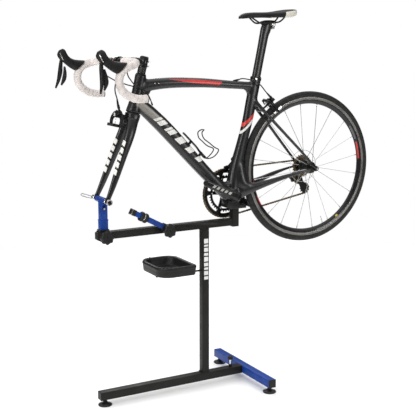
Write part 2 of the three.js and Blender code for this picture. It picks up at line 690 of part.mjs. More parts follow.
// --------------------------------------------------------------- brakes
// Caliper arm pair in a plane: `drop` points to the pads, `forward` is the bolt direction.
function makeBrakeArm(centre, drop, forward, s) {
  const layer = s * 6;
  const at = (y, down, depth) => {
    const point = vec(centre).addScaledVector(drop, down).addScaledVector(forward, depth);
    return [point.x, y, point.z];
  };
  const half = 5.5;
  const arm = sweep(
    [at(-s * 30, -16, layer), at(-s * 4, -8, layer), at(s * 20, 0, layer), at(s * 36, 18, layer), at(s * 31, 40, layer)],
    [[5, half], [9, half], [9, half], [7, half], [6, half]],
    { side: forward.toArray(), corners: 6, power: 3 },
  );
  const hub = rod(at(0, 0, layer - half), at(0, 0, layer + half), 10, 8);
  const bore = rod(at(0, 0, -30), at(0, 0, 30), 5.2, 8);
  const shoe = sweep(
    [at(s * 22, 41, -26), at(s * 22, 41, 26)],
    [5, 6],
    { corners: 4 },
  );
  const stud = rod(at(s * 20, 40, layer), at(s * 34, 40, layer), 4, 6, [1, 0, 0]);
  return union([arm, hub, shoe, stud]).subtract(bore);
}

// ------------------------------------------------------------ drivetrain
// Closed path of a chain round wheels given as {centre, radius, turn}; turn is +1 or -1.
function chainPath(wheels) {
  const left = (t) => [-t[1], t[0]];
  const runs = wheels.map((a, i) => {
    const b = wheels[(i + 1) % wheels.length];
    const dx = b.centre[0] - a.centre[0];
    const dz = b.centre[2] - a.centre[2];
    const distance = Math.hypot(dx, dz);
    const bend = Math.asin((a.turn * a.radius - b.turn * b.radius) / distance);
    const heading = Math.atan2(dz, dx) + bend;
    const normal = left([Math.cos(heading), Math.sin(heading)]);
    const touch = (wheel) => Math.atan2(-wheel.turn * normal[1], -wheel.turn * normal[0]);
    return { leave: touch(a), arrive: touch(b) };
  });
  return wheels.flatMap((wheel, i) => {
    const start = runs[(i + wheels.length - 1) % wheels.length].arrive;
    let sweepAngle = runs[i].leave - start;
    while (wheel.turn > 0 && sweepAngle < 0) sweepAngle += 2 * Math.PI;
    while (wheel.turn < 0 && sweepAngle > 0) sweepAngle -= 2 * Math.PI;
    const steps = Math.max(4, Math.round(Math.abs(sweepAngle) / radians(wheel.step)));
    return Array.from({ length: steps + 1 }, (_, k) => {
      const angle = start + (sweepAngle * k) / steps;
      return [
        wheel.centre[0] + wheel.radius * Math.cos(angle),
        wheel.centre[1],
        wheel.centre[2] + wheel.radius * Math.sin(angle),
      ];
    });
  });
}

function makeChain() {
  const onPlane = (centre, y) => [centre[0], y, centre[2]];
  const pulley = pitchRadius(PULLEY_TEETH);
  const path = chainPath([
    { centre: [0, RING_Y, 0], radius: pitchRadius(RING_TEETH), turn: 1, step: 12 },
    { centre: onPlane(TENSION, COG_Y), radius: pulley, turn: 1, step: 24 },
    { centre: onPlane(GUIDE, COG_Y), radius: pulley, turn: -1, step: 24 },
    { centre: onPlane(REAR_AXLE, COG_Y), radius: pitchRadius(COG_TEETH), turn: 1, step: 24 },
  ]);
  return sweep(path, CHAIN_HALF.map((v) => v * Math.SQRT2), { corners: 4, loop: true });
}

function crankArm(s, angle) {
  const end = [CRANK * Math.cos(angle), 0, CRANK * Math.sin(angle)];
  const y = [s * (CRANK_Y - 7), s * (CRANK_Y + 7)].sort((a, b) => a - b);
  const arm = sweep(
    [[0, s * CRANK_Y, 0], [end[0] * 0.5, s * CRANK_Y, end[2] * 0.5], [end[0], s * CRANK_Y, end[2]]],
    [[18, 7.5], [16.5, 7.5], [13.5, 7]],
    { corners: 8, power: 4 },
  );
  const eye = disc(end[0], end[2], 14, y, 16);
  const pedalHole = disc(end[0], end[2], 7, [y[0] - 1, y[1] + 1], 12);
  return union([arm, eye, disc(0, 0, 19, y, 16)]).subtract(pedalHole);
}

function makeCranks() {
  const leftAngle = Math.PI - radians(CRANK_ANGLE);
  const spindle = disc(0, 0, 12, [-CRANK_Y - 8, CRANK_Y], 14);
  const spiderArms = Array.from({ length: 5 }, (_, i) => {
    const angle = radians(90 + i * 72 + 10);
    return bar([0, 53, 0], [74 * Math.cos(angle), 50.6, 74 * Math.sin(angle)], [7, 2.5]);
  });
  const right = union([
    crankArm(1, leftAngle - Math.PI), spindle, disc(0, 0, 24, [48.5, CRANK_Y - 6], 16), ...spiderArms,
  ]);
  const left = crankArm(-1, leftAngle).subtract(disc(0, 0, 12.6, [-90, -50], 14));
  const ring = (outer, inner, y) => turned(
    [[inner, y[0]], [outer, y[0]], [outer, y[1]], [inner, y[1]]], [0, 0, 0], 40,
  );
  const tabs = Array.from({ length: 5 }, (_, i) => {
    const angle = radians(90 + i * 72 + 10);
    const at = (r, y) => [r * Math.cos(angle), y, r * Math.sin(angle)];
    const middle = RING_Y - 0.2;
    return bar(at(66, middle), at(90, middle), [8, 1.8]).add(
      disc(at(66, 0)[0], at(66, 0)[2], 5, [39, 46], 12),
    );
  });
  const rings = union([ring(99.8, 88, [44, 47.6]), ring(72, 60, [38.5, 41.5]), ...tabs]);
  return { left, right, rings };
}

function makePulley(centre) {
  const radius = 18;
  return turned([[3.5, -2], [radius, -2], [radius, 2], [3.5, 2]], [centre[0], COG_Y, centre[2]], 14);
}

function makeRearDerailleur() {
  const pivot = (y) => [GUIDE[0], y, GUIDE[2]];
  const lower = (y) => [TENSION[0], y, TENSION[2]];
  const outerPlate = sweep([pivot(63.5), lower(63.5)], [13, 1.2], { corners: 8, power: 3 });
  const innerPlate = sweep([pivot(53.2), lower(53.2)], [12, 1], { corners: 8, power: 3 });
  const axles = [GUIDE, TENSION].map((c) => disc(c[0], c[2], 3, [53, 64], 8));
  const hanger = bar([402, 69, 58], [402, 69, 34], [9, 3.2]);
  const knuckle = disc(400, 34, 12, [64.5, 80], 16);
  const links = sweep(
    [[400, 73, 34], [376, 78, 18], [366, 76, 6]],
    [[12, 7], [12, 7], [11, 7]],
    { corners: 8, power: 3 },
  );
  const lowerKnuckle = sweep([[368, 72, 4], [GUIDE[0], 70, GUIDE[2]]], [12, 7], { corners: 8, power: 3 });
  const stub = disc(GUIDE[0], GUIDE[2], 9, [62.5, 72], 14);
  const parts = [outerPlate, innerPlate, ...axles, hanger, knuckle, links, lowerKnuckle, stub];
  return union(parts).subtract(disc(REAR_AXLE[0], REAR_AXLE[2], 15 + GAP, [60, 75], 20));
}

function makeFrontDerailleur() {
  const cage = (y, half) => sweep(
    [[6, y, 111], [30, y, 111], [62, y, 99]], [[6, half], [8, half], [7, half]], { corners: 8, power: 4 },
  );
  const tie = box([20, 34], [39, 53], [113, 118]);
  const arm = bar([44, 30, 134], [30, 41, 118], [7, 6]);
  const clamp = box([28, 56], [18, 38], [122, 150]);
  return union([cage(39.8, 0.9), cage(52.3, 0.9), tie, arm, clamp]).subtract(seatTube(GAP));
}

function makeCassette() {
  const cogs = [[53, 34.5], [53, 37.5], [42, 42], [30, 54], [19.5, 54], [19.5, 61.3]];
  return turned([[15.8, 34.5], ...cogs, [15.8, 61.3]], REAR_AXLE, 28);
}

function makeHub() {
  const profile = [
    [3.4, -64.6], [8, -64.6], [8, -38], [24, -36], [24, -32], [13, -29], [13, 16], [27, 19], [27, 23],
    [15.2, 26], [15.2, 60], [8, 60], [8, 64.6], [3.4, 64.6],
  ];
  const spokes = Array.from({ length: 20 }, (_, i) => {
    const angle = radians(i * 18 + 4);
    const flangeY = i % 2 ? 21 : -34;
    const lead = radians(i % 4 < 2 ? 8 : -8);
    const at = (r, a, y) => [REAR_AXLE[0] + r * Math.cos(a), y, REAR_AXLE[2] + r * Math.sin(a)];
    return rod(at(22, angle - lead, flangeY), at(RIM_INNER - 1.7, angle, i % 2 ? 1.2 : -1.2), 1.3, 4);
  });
  return union([turned(profile, REAR_AXLE, 14), ...spokes]);
}

function makeRim() {
  const wall = 1.8;
  const outer = [
    [RIM_RADIUS, -11.5], [299, -11.5], [RIM_INNER, -3], [RIM_INNER, 3], [299, 11.5], [RIM_RADIUS, 11.5],
  ];
  const inner = [[RIM_RADIUS, 11.5 - wall], [298, 11.5 - wall], [298, wall - 11.5], [RIM_RADIUS, wall - 11.5]];
  return turned([...outer, ...inner], REAR_AXLE, 40);
}

function makeTyre() {
  const bead = RIM_RADIUS + GAP;
  const middle = TYRE_RADIUS - 12.5;
  const profile = [[bead, -10.5]];
  for (let i = 0; i <= 6; i += 1) {
    const angle = radians(-99 + i * 33);
    profile.push([middle + 12.5 * Math.cos(angle), 12.5 * Math.sin(angle)]);
  }
  profile.push([bead, 10.5]);
  return turned(profile, REAR_AXLE, 40);
}

function makeRearSkewer() {
  const pin = disc(REAR_AXLE[0], REAR_AXLE[2], 2.7, [-80, 76], 8);
  const nut = disc(REAR_AXLE[0], REAR_AXLE[2], 9, [72.4, 84], 14);
  const cam = disc(REAR_AXLE[0], REAR_AXLE[2], 9, [-84, -72.4], 14);
  const lever = sweep(
    [[402, -80, 67], [386, -84, 80], [362, -86, 94]], [[5, 3], [5, 2.5], [3, 2]], { corners: 8, power: 3 },
  );
  return union([pin, nut, cam, lever]);
}

// ---------------------------------------------------------------- saddle
function makeSeatpost() {
  const post = sweep(
    [
      along(SEAT_FOOT, SEAT, POST_BOTTOM), along(SEAT_FOOT, SEAT, 650), along(SEAT_FOOT, SEAT, 700),
      [223, 0, 690], [226, 0, RAIL_Z - 4.5],
    ],
    [POST_HALF, POST_HALF, [21.5, 13.3], [24, 13.6], [19, 14]],
    { corners: 12 },
  );
  const head = box([206, 246], [-14, 14], [RAIL_Z - 10, RAIL_Z]);
  const above = box([180, 270], [-40, 40], [RAIL_Z - 4.5, RAIL_Z + 40]);
  return post.add(head).subtract(above);
}

const saddleRail = (s, by = 0) => sweep(
  [
    [140, s * 7, 742], [154, s * 12, 731], [180, s * 19, RAIL_Z], [279, s * 22, RAIL_Z],
    [300, s * 26, 729], [308, s * 30, 738],
  ],
  3.5 + by,
  { corners: 6 },
);

function makeRails() {
  const clamp = box([208, 248], [-27, 27], [RAIL_Z - 4.2, RAIL_Z + 4]);
  const nose = box([130, 148], [-14, 14], [735, 743]);
  const tail = box([298, 316], [-38, 38], [732, 740]);
  return union([saddleRail(-1), saddleRail(1), clamp, nose, tail]);
}

// Saddle shell as rings of [x, z, half height, half width]; `thin` shrinks them for the hollow.
const saddleSkin = (rows) => loft(rows.map(([x, z, halfZ, halfY]) => (
  sectionRing([x, 0, z], vec([0, 0, 1]), vec([0, 1, 0]), [halfZ, halfY], 12, 2.5)
)));

function makeSaddle() {
  const skin = saddleSkin([
    [91, 742, 6, 11], [108, 746, 11, 19], [146, 748, 12, 22], [195, 746, 13, 27], [238, 744, 13, 42],
    [276, 743, 14, 60], [316, 746, 14, 68], [340, 748, 12, 62], [351, 750, 8, 50],
  ]);
  const hollow = saddleSkin([
    [118, 732, 8, 12], [146, 730, 17, 16], [195, 728, 19, 20], [238, 726, 20, 34],
    [276, 725, 21, 52], [316, 728, 21, 60], [334, 730, 18, 52],
  ]);
  const notch = box([328, 360], [-14, 14], [720, 770]);
  const bosses = union([
    box([127, 151], [-17, 17], [738, 752]),
    box([295, 319], [-41, 41], [736, 752]),
  ]);
  const fit = union([
    box([130 - GAP, 148 + GAP], [-14 - GAP, 14 + GAP], [720, 743 + GAP]),
    box([298 - GAP, 316 + GAP], [-38 - GAP, 38 + GAP], [720, 740 + GAP]),
    saddleRail(-1, GAP),
    saddleRail(1, GAP),
  ]);
  return union([skin.subtract(hollow).subtract(notch), bosses]).subtract(fit);
}

// ------------------------------------------------------- cage and cables
// Point above the down tube: distance up along it, offset sideways, height over its middle.
const overDownTube = (distance, y, height) => [
  -111 - 0.651 * distance + 0.759 * height,
  y,
  107 + 0.759 * distance + 0.651 * height,
];

function makeBottleCage() {
  const wire = (rows) => roundSweep(rows.map((row) => overDownTube(...row)), 2.4, 5)(Math.round(rows.length * 1.5));
  const sides = [-1, 1].map((s) => wire([
    [196, s * 5, 48], [120, s * 6, 48], [44, s * 8, 47], [34, s * 22, 66], [36, s * 24, 106],
    [62, s * 34, 98], [96, s * 36.5, 92], [128, s * 36, 86], [146, s * 30, 104],
  ]));
  const front = wire([[146, -30, 104], [140, -16, 118], [136, 0, 122], [140, 16, 118], [146, 30, 104]]);
  const foot = bar(overDownTube(200, 0, 47), overDownTube(55, 0, 47), [2.5, 10]);
  const bosses = [80, 150].map((at) => rod(overDownTube(at, 0, 20), overDownTube(at, 0, 48), 7, 8));
  return union([...sides, front, foot, ...bosses]).subtract(downTube(GAP));
}

const CABLES = {
  brake_cable_front: {
    path: [
      [-500, -150, 584], [-512, -118, 566], [-519, -70, 530], [-511, -36, 490], [-502, -28, 461],
      [-500, -27, 441],
    ],
    radius: 2.5,
  },
  brake_cable_rear: {
    path: [[64, 0, 482], [84, 0, 487], [110, -24, 482], [150, -34, 462], [186, -30, 424], [206, -26, 404]],
    radius: 2.5,
  },
  shift_cable_left: {
    path: [
      [-496, -128, 585], [-490, -118, 560], [-465, -92, 532], [-425, -48, 508], [-390, -30, 492],
      [-362, -24, 458], [-348, -21, 422],
    ],
    radius: 2.4,
  },
  shift_cable_right: {
    path: [
      [-496, 128, 585], [-490, 118, 560], [-465, 92, 532], [-425, 48, 508], [-390, 30, 492],
      [-362, 24, 458], [-348, 21, 422],
    ],
    radius: 2.4,
  },
};

function makeCables() {
  return Object.entries(CABLES).map(([name, { path, radius }]) => (
    piece(name, 'rubber', roundSweep(path, radius, 5)(12))
  ));
}

// ------------------------------------------------------------- assembly
function makeBike() {
  const front = vec([-STEER.z, 0, STEER.x]);
  const frontBolt = along(along(CROWN, STEER, CROWN_BRAKE), front, BRAKE_OUT.front);
  const frontDrop = STEER.clone().negate();
  const rearBolt = along(BRIDGE, BRIDGE_AHEAD, BRAKE_OUT.rear);
  const rearDrop = vec([BRIDGE_AHEAD.z, 0, -BRIDGE_AHEAD.x]);
  const { left, right, rings } = makeCranks();
  const sideName = (s) => (s < 0 ? 'left' : 'right');
  const fixed = [
    piece('frame_main', 'carbon', makeFrame()),
    piece('frame_stays', 'carbon', makeStays()),
    piece('fork', 'carbon', makeFork()),
    piece('stem', 'blackAlloy', makeStem()),
    piece('handlebar', 'blackAlloy', makeHandlebar()),
    piece('chain', 'brass', makeChain()),
    piece('front_derailleur', 'blackAlloy', makeFrontDerailleur()),
    piece('rear_derailleur', 'blackAlloy', makeRearDerailleur()),
    piece('bottle_cage', 'blackSteel', makeBottleCage()),
    piece('rear_skewer', 'silver', makeRearSkewer()),
    ...makeCables(),
  ];
  const bodies = [];
  for (const s of [-1, 1]) {
    const side = sideName(s);
    fixed.push(piece(`bar_tape_${side}`, 'tape', makeTape(s)));
    fixed.push(piece(`hood_${side}`, 'rubber', makeHood(s)));
    const paddle = body(`paddle_${side}_turn`, [-619, s * (HOOD_Y - 4), 594], [
      piece(`shift_paddle_${side}`, 'blackPlastic', makePaddle(s)),
    ]);
    bodies.push(body(`lever_${side}_turn`, [LEVER_PIVOT[0], s * (HOOD_Y - 2), LEVER_PIVOT[2]], [
      piece(`brake_lever_${side}`, 'blackAlloy', makeLever(s)), paddle,
    ]));
    bodies.push(body(`front_brake_${side}_turn`, frontBolt, [
      piece(`front_brake_arm_${side}`, 'blackAlloy', makeBrakeArm(frontBolt, frontDrop, front, s)),
    ]));
    bodies.push(body(`rear_brake_${side}_turn`, rearBolt, [
      piece(`rear_brake_arm_${side}`, 'blackAlloy', makeBrakeArm(rearBolt, rearDrop, BRIDGE_AHEAD, s)),
    ]));
  }
  bodies.push(body('crank_turn', [0, 0, 0], [
    piece('crank_left', 'blackAlloy', left),
    piece('crank_right', 'blackAlloy', right),
    piece('chainrings', 'blackAlloy', rings),
  ]));
  bodies.push(body('rear_wheel_turn', REAR_AXLE, [
    piece('rear_hub', 'silver', makeHub()),
    piece('cassette', 'brass', makeCassette()),
    piece('rear_rim', 'blackAlloy', makeRim()),
    piece('rear_tyre', 'rubber', makeTyre()),
  ]));
  bodies.push(body('guide_pulley_turn', GUIDE, [piece('guide_pulley', 'blackPlastic', makePulley(GUIDE))]));
  bodies.push(body('tension_pulley_turn', TENSION, [
    piece('tension_pulley', 'blackPlastic', makePulley(TENSION)),
  ]));
  bodies.push(body('seatpost_slide', along(SEAT_FOOT, SEAT, SEAT_TUBE_TOP), [
    piece('seatpost', 'carbon', makeSeatpost()),
    piece('saddle_rails', 'blackSteel', makeRails()),
    piece('saddle', 'rubber', makeSaddle()),
  ]));
  const bike = new THREE.Group();
  bike.name = 'bicycle';
  bike.add(...fixed, ...bodies);
  bike.rotation.y = -radians(BIKE_PITCH);
  bike.position.set(...BB);
  return bike;
}

function makeAssembly() {
  const root = new THREE.Group();
  root.name = 'bicycle_on_stand';
  const holder = makeForkHolder();
  const beam = body('beam_swivel', [0, 0, 0], [
    ...makeBeam(),
    ...holder.fixed,
    holder.lever,
    makeKnob('front_knob', HOLDER_X),
    makeKnob('second_knob', ARM2_X),
    makeSecondArm(),
    makeBike(),
  ]);
  const whole = new THREE.Group();
  whole.name = 'stand_and_bicycle';
  whole.position.x = -MIDDLE_X;
  root.add(whole);
  whole.add(
    ...makeBase(),
    makeFoot('foot_front', FOOT_FRONT_X, 0),
    makeFoot('foot_left', CROSSBAR_X, -FOOT_SPREAD),
    makeFoot('foot_right', CROSSBAR_X, FOOT_SPREAD),
    makeBaseLockKnob(),
    makeTray(),
    beam,
  );
  return root;
}

export default makeAssembly();
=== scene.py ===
"""Road bicycle clamped on a swivelling workshop stand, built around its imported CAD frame."""
import json
import math

import bmesh
import bpy
from mathutils import Matrix, Vector


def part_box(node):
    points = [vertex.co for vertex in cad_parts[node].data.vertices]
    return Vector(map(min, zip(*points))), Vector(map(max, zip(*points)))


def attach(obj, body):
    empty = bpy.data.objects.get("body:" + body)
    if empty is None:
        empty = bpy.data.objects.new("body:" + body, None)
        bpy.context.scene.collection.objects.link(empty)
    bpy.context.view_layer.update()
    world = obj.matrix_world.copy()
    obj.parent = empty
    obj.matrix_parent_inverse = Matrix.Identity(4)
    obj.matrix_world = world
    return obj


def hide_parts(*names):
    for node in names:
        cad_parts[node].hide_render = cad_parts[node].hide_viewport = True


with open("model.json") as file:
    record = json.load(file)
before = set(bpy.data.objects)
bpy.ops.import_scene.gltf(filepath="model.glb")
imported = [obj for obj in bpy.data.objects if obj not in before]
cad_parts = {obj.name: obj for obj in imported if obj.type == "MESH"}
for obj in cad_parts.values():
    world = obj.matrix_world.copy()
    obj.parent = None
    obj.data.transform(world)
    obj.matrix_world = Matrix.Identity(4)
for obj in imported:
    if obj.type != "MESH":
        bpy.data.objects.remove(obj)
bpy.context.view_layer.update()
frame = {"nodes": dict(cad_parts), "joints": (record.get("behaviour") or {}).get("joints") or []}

# ------------------------------------------------------------ places and sizes
# Lengths are millimetres until a shape is placed; placing turns them into metres.
MM = 0.001
TURN = 2 * math.pi
PITCH = math.radians(3.9)  # the bicycle stands nose down by this much
X = Vector((1, 0, 0))
Y = Vector((0, 1, 0))
Z = Vector((0, 0, 1))


def pivot(joint_name):
    """A joint's pivot in the row frame, in metres."""
    joint = next(j for j in frame["joints"] if j["name"] == joint_name)
    return Vector(joint["pos_m"])


BRACKET = pivot("crank_turn")
MAST_X = pivot("beam_swivel").x
SCALE = Matrix.Scale(MM, 4)
BIKE = Matrix.Translation(BRACKET) @ Matrix.Rotation(-PITCH, 4, "Y") @ SCALE
STAND = Matrix.Translation((MAST_X, 0, 0)) @ SCALE


def in_bike(point):
    """A row-frame point in bicycle millimetres: origin at the bottom bracket, +X to the rear."""
    return BIKE.inverted() @ Vector(point)


REAR_AXLE = in_bike(pivot("rear_wheel_turn"))
GUIDE = in_bike(pivot("guide_pulley_turn"))
TENSION = in_bike(pivot("tension_pulley_turn"))
FRONT_BOLT = in_bike(pivot("front_brake_left"))
REAR_BOLT = in_bike(pivot("rear_brake_left"))
FRONT_AXLE = Vector((-590, 0, 67.1))
CROWN = Vector((-427, 0, 393))
STEER = Vector((0.302, 0, 0.9533)).normalized()
AHEAD = Vector((-STEER.z, 0, STEER.x))  # square to the steering axis, forwards
SEAT_FOOT = Vector((18, 0, 0))
SEAT = Vector((0.2785, 0, 0.9604)).normalized()
SEAT_TOP = 505
BRIDGE = Vector((177, 0, 343))
BRIDGE_AHEAD = Vector((0.84, 0, 0.54)).normalized()
BAR = Vector((-475, 0, 604))
BAR_HALF = 209
HOOD_Y = 208
RAIL_Z = 713
SIDES = ((-1, "left"), (1, "right"))  # sign along Y and name
TYRE_RADIUS = 336
TYRE_HALF = 12.5
RIM_RADIUS = 311
RIM_INNER = 281.2
SPOKES = 20
CHAIN_PITCH = 12.7
RING_TEETH, INNER_RING_TEETH = 52, 39
SPROCKET_TEETH = (11, 12, 13, 14, 15, 17, 19, 21, 23, 25)
SPROCKET_STEP = 2.72
CHAIN_COG_TEETH = 12  # the sprocket that the chain runs on
PULLEY_TEETH = 11
RING_Y = 46
COG_Y = 58
CRANK = 172.5
CRANK_Y = 69
CRANK_HALF = 7.4
CRANK_ANGLE = math.pi - math.radians(28)
TAPE_TURN = 19  # bar tape: length of bar that one turn covers
SECOND_ARM_LEAN = math.radians(28)
TRAY_HALF_X, TRAY_HALF_Y, TRAY_FLOOR, TRAY_WALL = 85, 112, 531, 42
TRAY_CORNERS = (52, 58, 58, 18)
KNOB_LOBES, LOCK_LOBES = 8, 6

# ------------------------------------------------------- light and camera, in metres
ROOM_LIGHT, OVERHEAD_LIGHT, BACKDROP_LIGHT = 0.08, 1.6, 1.0
FLOOR_RADIUS = 3
CAMERA_PLACE = (-2.0313, -3.3882, 1.4943)
CAMERA_YAW, CAMERA_DIP = math.radians(29.37), math.radians(10.45)
CAMERA_LENS, CAMERA_SHIFT = 80.47, (-0.0029, 0.0046)
LAMP_TARGET = Vector((0, 0, 0.9))
LAMPS = [
    # place, size, power
    ((-2.8, -2.6, 2.6), 1.0, 34), ((-3.3, -0.9, 1.3), 1.1, 34), ((1.9, -3.3, 1.5), 0.8, 20),
    ((0.4, 2.8, 2.6), 1.4, 30),
]


# ---------------------------------------------------------------------- shapes
# A shape is (points, faces). Rows are lists of numbers that start with x, y, z.
def smooth(rows, steps=6):
    """Rows joined by a smooth curve, with `steps` new rows for each span."""
    gaps = [max(math.dist(a[:3], b[:3]), 1e-6) for a, b in zip(rows, rows[1:])]
    slopes = [[(b - a) / gap for a, b in zip(p, q)] for p, q, gap in zip(rows, rows[1:], gaps)]
    tangents = [slopes[0]]
    for i in range(1, len(slopes)):
        before, after = gaps[i - 1], gaps[i]
        pairs = zip(slopes[i - 1], slopes[i])
        tangents.append([(s * after + t * before) / (before + after) for s, t in pairs])
    tangents.append(slopes[-1])
    made = []
    for i, gap in enumerate(gaps):
        for k in range(steps):
            t = k / steps
            weights = (
                2 * t**3 - 3 * t**2 + 1,
                (t**3 - 2 * t**2 + t) * gap,
                3 * t**2 - 2 * t**3,
                (t**3 - t**2) * gap,
            )
            values = zip(rows[i], tangents[i], rows[i + 1], tangents[i + 1])
            made.append([sum(w * v for w, v in zip(weights, four)) for four in values])
    made.append([float(v) for v in rows[-1]])
    return made


def joined(shapes):
    """Several shapes as one."""
    points, faces = [], []
    for some_points, some_faces in shapes:
        first = len(points)
        points += [Vector(p) for p in some_points]
        faces += [tuple(first + i for i in face) for face in some_faces]
    return points, faces


def loft(rings, loop=False):
    """Skin over rings of equally many points, with flat ends or closed as a loop."""
    count = len(rings[0])
    points = [p for ring in rings for p in ring]
    faces = []
    for r in range(len(rings) if loop else len(rings) - 1):
        a, b = r * count, (r + 1) % len(rings) * count
        for i in range(count):
            j = (i + 1) % count
            faces.append((a + i, a + j, b + j, b + i))
    if not loop:
        faces.append(tuple(range(count)))
        faces.append(tuple(range(len(points) - count, len(points))))
    return points, faces


def section(centre, u, w, half_u, half_w, sides, power=2):
    """Rounded section; power 2 is an ellipse and a higher power is squarer."""
    ring = []
    for i in range(sides):
        angle = TURN * (i + 0.5) / sides
        c, s = math.cos(angle), math.sin(angle)
        a = math.copysign(abs(c) ** (2 / power), c) * half_u
        b = math.copysign(abs(s) ** (2 / power), s) * half_w
        ring.append(Vector(centre) + u * a + w * b)
    return ring


def frames(path):
    """Tangent and two cross directions at each point of a path, without twist."""
    made = []
    u = None
    for i, point in enumerate(path):
        tangent = (path[min(i + 1, len(path) - 1)] - path[max(i - 1, 0)]).normalized()
        if u is None:
            u = tangent.cross(X if abs(tangent.x) < 0.9 else Y)
        u = (u - tangent * u.dot(tangent)).normalized()
        made.append((point, tangent, u, tangent.cross(u)))
    return made


def tube(rows, radius=None, sides=12, steps=6, dome=True):
    """Round tube along rows of x, y, z and optionally a radius."""
    rows = smooth([list(r) for r in rows], steps) if steps > 1 else [list(r) for r in rows]
    radii = [radius if radius is not None else r[3] for r in rows]
    spots = frames([Vector(r[:3]) for r in rows])
    rings = [section(p, u, w, r, r, sides) for (p, _, u, w), r in zip(spots, radii)]
    if dome:
        rings = domed(rings, spots[0][1], spots[-1][1], radii[0], radii[-1])
    return loft(rings)


def domed(rings, start_way, end_way, start_size, end_size):
    """Rings with a round end added at each end, as deep as its size."""
    def cap(ring, way, size):
        centre = sum(ring, Vector()) / len(ring)
        made = []
        for angle in (25, 50, 72):
            shrink, reach = math.cos(math.radians(angle)), math.sin(math.radians(angle))
            made.append([centre + (p - centre) * shrink + way * size * reach for p in ring])
        return made
    start = cap(rings[0], -start_way, start_size)
    return start[::-1] + rings + cap(rings[-1], end_way, end_size)


def sweep(rows, sides=20, power=2.0, side=Y, steps=6, dome=0.0):
    """Section carried along rows of x, y, z, half size in the path's plane, half size along side."""
    rows = smooth(rows, steps) if steps > 1 else rows
    path = [Vector(r[:3]) for r in rows]
    rings, ways = [], []
    for i, row in enumerate(rows):
        way = (path[min(i + 1, len(path) - 1)] - path[max(i - 1, 0)]).normalized()
        u = side.cross(way).normalized()
        rings.append(section(path[i], u, way.cross(u), row[3], row[4], sides, power))
        ways.append(way)
    if dome:
        rings = domed(rings, ways[0], ways[-1], dome, dome)
    return loft(rings)


def lathe(profile, origin=(0, 0, 0), axis=Y, segments=48, loop=False):
    """Profile of [radius, distance along axis] turned round an axis."""
    axis = Vector(axis).normalized()
    u = axis.cross(X if abs(axis.x) < 0.9 else Z).normalized()
    w = axis.cross(u)
    angles = [TURN * i / segments for i in range(segments)]
    rings = []
    for radius, distance in profile:
        centre = Vector(origin) + axis * distance
        rings.append([centre + (u * math.cos(a) + w * math.sin(a)) * radius for a in angles])
    return loft(rings, loop)


def rod(start, end, radius, sides=20, lip=0.0):
    """Straight round bar, with its end edges rounded by `lip`."""
    start, end = Vector(start), Vector(end)
    length = (end - start).length
    if not lip:
        return lathe([[radius, 0], [radius, length]], start, end - start, sides)
    ease = lip * 0.3
    profile = [[radius - lip, 0], [radius - ease, ease], [radius, lip], [radius, length - lip]]
    profile += [[radius - ease, length - ease], [radius - lip, length]]
    return lathe(profile, start, end - start, sides)


def box(low, high):
    """Block between two corners; the pieces made of it get bevelled edges or are fused."""
    xs, ys, zs = zip(low, high)
    corners = [Vector((x, y, z)) for x in xs for y in ys for z in zs]
    return corners, [(0, 1, 3, 2), (4, 6, 7, 5), (0, 4, 5, 1), (2, 3, 7, 6), (0, 2, 6, 4), (1, 5, 7, 3)]


def screw(head, way, radius, height, sides=20):
    """Round screw head with a socket, its top towards `way`."""
    socket, floor = radius * 0.5, height * 0.35
    profile = [[0, 0], [radius, 0], [radius, height * 0.75], [radius * 0.86, height]]
    profile += [[socket, height], [socket, floor], [0, floor]]
    return lathe(profile, head, way, sides)


def spoke(angle, radius=1.0, y=0.0):
    """Point at an angle and radius round the Y axis."""
    return Vector((radius * math.cos(angle), y, radius * math.sin(angle)))


def lobed(centre, lobes, radius, wave, count, u, w):
    """Closed outline round a centre, with soft lobes."""
    ring = []
    for i in range(count):
        a = TURN * i / count
        reach = radius + wave * math.cos(lobes * a)
        ring.append(centre + u * reach * math.cos(a) + w * reach * math.sin(a))
    return ring


def mirrored(rows, s):
    """Rows given for the right side, moved to the side whose sign along Y is s."""
    return [[x, s * y, *rest] for x, y, *rest in rows]


def cross_rod(x, z, low, high, radius, sides=20, lip=0.0):
    """Straight round bar along Y, from y low to y high."""
    return rod((x, low, z), (x, high, z), radius, sides, lip)


def steer(distance):
    """Point on the steering axis, from the fork crown up."""
    return CROWN + STEER * distance


def seat(distance):
    """Point on the seat tube's axis, from its foot up."""
    return SEAT_FOOT + SEAT * distance


# ---------------------------------------------------------------------- pieces
def in_scene(name, data):
    """A new object in the scene that shows `data`."""
    obj = bpy.data.objects.new(name, data)
    bpy.context.scene.collection.objects.link(obj)
    return obj


def mesh_of(name, shapes, place):
    """One clean mesh of several shapes, in metres in the row frame."""
    points, faces = joined(shapes)
    mesh = bpy.data.meshes.new(name)
    mesh.from_pydata([place @ p for p in points], [], faces)
    work = bmesh.new()
    work.from_mesh(mesh)
    bmesh.ops.remove_doubles(work, verts=work.verts, dist=1e-6)
    bmesh.ops.recalc_face_normals(work, faces=work.faces)
    work.to_mesh(mesh)
    work.free()
    return mesh


def shade(mesh, angle):
    """Smooth shading, with edges sharper than the angle kept as creases."""
    mesh.shade_smooth()
    mesh.set_sharp_from_angle(angle=math.radians(angle))


def bevelled(obj, width, segments=2, angle=40):
    """Eased edges of a width in millimetres."""
    bevel = obj.modifiers.new("edges", "BEVEL")
    bevel.width = width * MM
    bevel.segments = segments
    bevel.limit_method = "ANGLE"
    bevel.angle_limit = math.radians(angle)
    bevel.use_clamp_overlap = True


def make(name, body, finish, shapes, replaces=(), place=BIKE, bevel=0.0, angle=35, rounding=0):
    """A visible piece: built, finished, riding on its body and standing for its CAD nodes."""
    obj = in_scene(name, mesh_of(name, shapes, place))
    return settle(obj, body, finish, replaces, bevel, angle, rounding)


